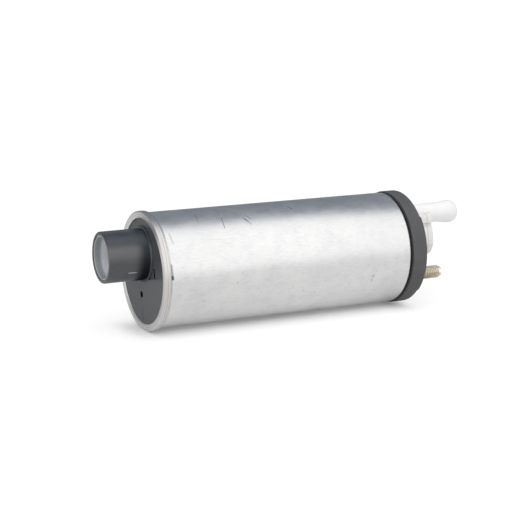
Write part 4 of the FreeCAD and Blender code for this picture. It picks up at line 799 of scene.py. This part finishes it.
# Shaft and its bearings: a ground steel shaft in two bushes of sintered bronze, soaked with oil. Plastic
# washers take its end play, and a moulded coupling turns the inner rotor.
finished(["armature_shaft"], ground_steel)
finished(["front_bush", "rear_bush"], sintered("oily_bronze", (0.62, 0.42, 0.22, 1), (0.22, 0.14, 0.07, 1), 0.28))
finished(["front_thrust_washer", "rear_thrust_washer"],
         moulded("bearing_plastic", (0.50, 0.37, 0.20, 1), (0.60, 0.46, 0.28, 1), 0.45))
finished(["drive_coupling"], moulded("blue_acetal", (0.10, 0.19, 0.34, 1), (0.16, 0.27, 0.42, 1), 0.4))


# Field of the motor: a ring rolled from zinc-plated steel lies in the tube, and two clips of the same
# steel press two ground ferrite magnets against it.
finished(["flux_ring", "magnet_clips"],
         metal("zinc_plated_steel", (0.56, 0.57, 0.60, 1), (0.42, 0.43, 0.46, 1), 0.38, 0.2, 300, (1, 1, 1)))
finished(["magnet_upper", "magnet_lower"],
         moulded("ground_ferrite", (0.11, 0.11, 0.12, 1), (0.19, 0.19, 0.20, 1), 0.4, 1800))


# Armature: thin lamination sheets, stacked on the shaft between two moulded insulators, with enamelled
# copper wire wound in their slots.
laminated = Finish("stacked_laminations", {"Metallic": 0.9})
sheets = laminated.node("ShaderNodeTexWave", {"wave_type": "BANDS", "bands_direction": "X"}, {
    "Vector": laminated.place(), "Scale": 320, "Distortion": 0.3, "Detail": 1}, "Fac")
rust = laminated.noise(260, 4).rising(0.5, 0.75)
laminated.give("Base Color", laminated.mix(sheets * 0.6 + rust * 0.3, (0.16, 0.15, 0.15, 1), (0.44, 0.45, 0.47, 1)))
laminated.give("Roughness", rust * 0.3 + 0.35)
laminated.bump(sheets, 0.00004)
finished(["armature_core"], laminated)
finished(["core_insulators"], moulded("green_insulator", (0.14, 0.30, 0.20, 1), (0.22, 0.40, 0.29, 1), 0.45))


def stranded(name, colour, dark, scale, metallic):
    """Copper wire, wound or twisted, strand beside strand."""
    finish = Finish(name, {"Metallic": metallic, "Coat Weight": 0.4, "Coat Roughness": 0.2})
    strands = finish.node("ShaderNodeTexWave", {"wave_type": "BANDS", "bands_direction": "DIAGONAL"}, {
        "Vector": finish.place(), "Scale": scale, "Distortion": 2.5, "Detail": 2, "Detail Scale": 1.5}, "Fac")
    haze = finish.noise(240, 3)
    finish.give("Base Color", finish.mix(strands * 0.7 + haze * 0.3, dark, colour))
    finish.give("Roughness", haze * 0.2 + 0.2)
    finish.bump(strands, 0.0001)
    return finish


finished(["armature_windings"], stranded("enamelled_wire", (0.66, 0.24, 0.10, 1), (0.25, 0.07, 0.03, 1), 260, 0.7))


# Commutator and brushes: copper bars, moulded into a brown hub and turned bright, and two carbon brushes
# with copper leads, which slide in the boxes of a glass-filled holder.
finished(["commutator_bars"],
         metal("bright_copper", (0.80, 0.43, 0.25, 1), (0.55, 0.25, 0.13, 1), 0.24, 0.14, 1400, (1, 0.15, 0.15)))
finished(["commutator_hub"], moulded("brown_phenolic", (0.16, 0.08, 0.05, 1), (0.25, 0.14, 0.09, 1), 0.4))
finished(["brush_positive", "brush_negative"],
         moulded("pressed_carbon", (0.07, 0.065, 0.065, 1), (0.15, 0.14, 0.14, 1), 0.38, 3000))
finished(["brush_lead_positive", "brush_lead_negative"],
         stranded("copper_strands", (0.82, 0.45, 0.26, 1), (0.40, 0.18, 0.09, 1), 900, 1))
finished(["brush_holder"], moulded("glass_filled_plastic", (0.12, 0.12, 0.13, 1), (0.24, 0.24, 0.25, 1), 0.5))


# Valves and seals: seats turned from brass, an acetal poppet in the outlet and a ground steel ball behind
# the vent hole. The rings that seal the covers, the studs and the poppet are black rubber.
finished(["check_valve_seat", "relief_valve_seat"],
         metal("turned_brass", (0.78, 0.60, 0.30, 1), (0.58, 0.42, 0.18, 1), 0.26, 0.12, 1500, (1, 0.2, 0.2)))
finished(["check_valve_poppet"], moulded("white_acetal", (0.74, 0.73, 0.69, 1), (0.82, 0.81, 0.77, 1), 0.35))
finished(["relief_valve_ball"], ground_steel)
finished(["inlet_cover_seal", "outlet_cover_seal", "terminal_seals", "check_valve_seal"],
         moulded("seal_rubber", (0.030, 0.030, 0.033, 1), (0.060, 0.060, 0.064, 1), 0.55, 3500))


# Springs of the valves and brushes: wound from hard steel wire.
spring_wire = metal("spring_wire", (0.60, 0.60, 0.61, 1), (0.36, 0.35, 0.34, 1), 0.28, 0.12, 2500, (1, 1, 1))
for node, joint, way, seat, kept in (
    ("check_valve_spring", "check_valve_lift", at(1), 0.0560, 0.705),
    ("relief_valve_spring", "relief_valve_lift", at(1), -0.0493, 0.745),
    ("brush_spring_positive", "brush_positive_slide", at(0, 1), -0.0176, 0.56),
    ("brush_spring_negative", "brush_negative_slide", at(0, 1), 0.0176, 0.56),
):
    spring = bpy.data.objects.new(node + "_wire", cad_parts[node].data.copy())
    bpy.context.scene.collection.objects.link(spring)
    bpy.ops.object.select_all(action="DESELECT")
    spring.select_set(True)
    bpy.context.view_layer.objects.active = spring
    bpy.ops.object.mode_set(mode="EDIT")
    merged(spring)
    smooth(spring)
    dress(spring, spring_wire, node)
    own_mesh(spring)
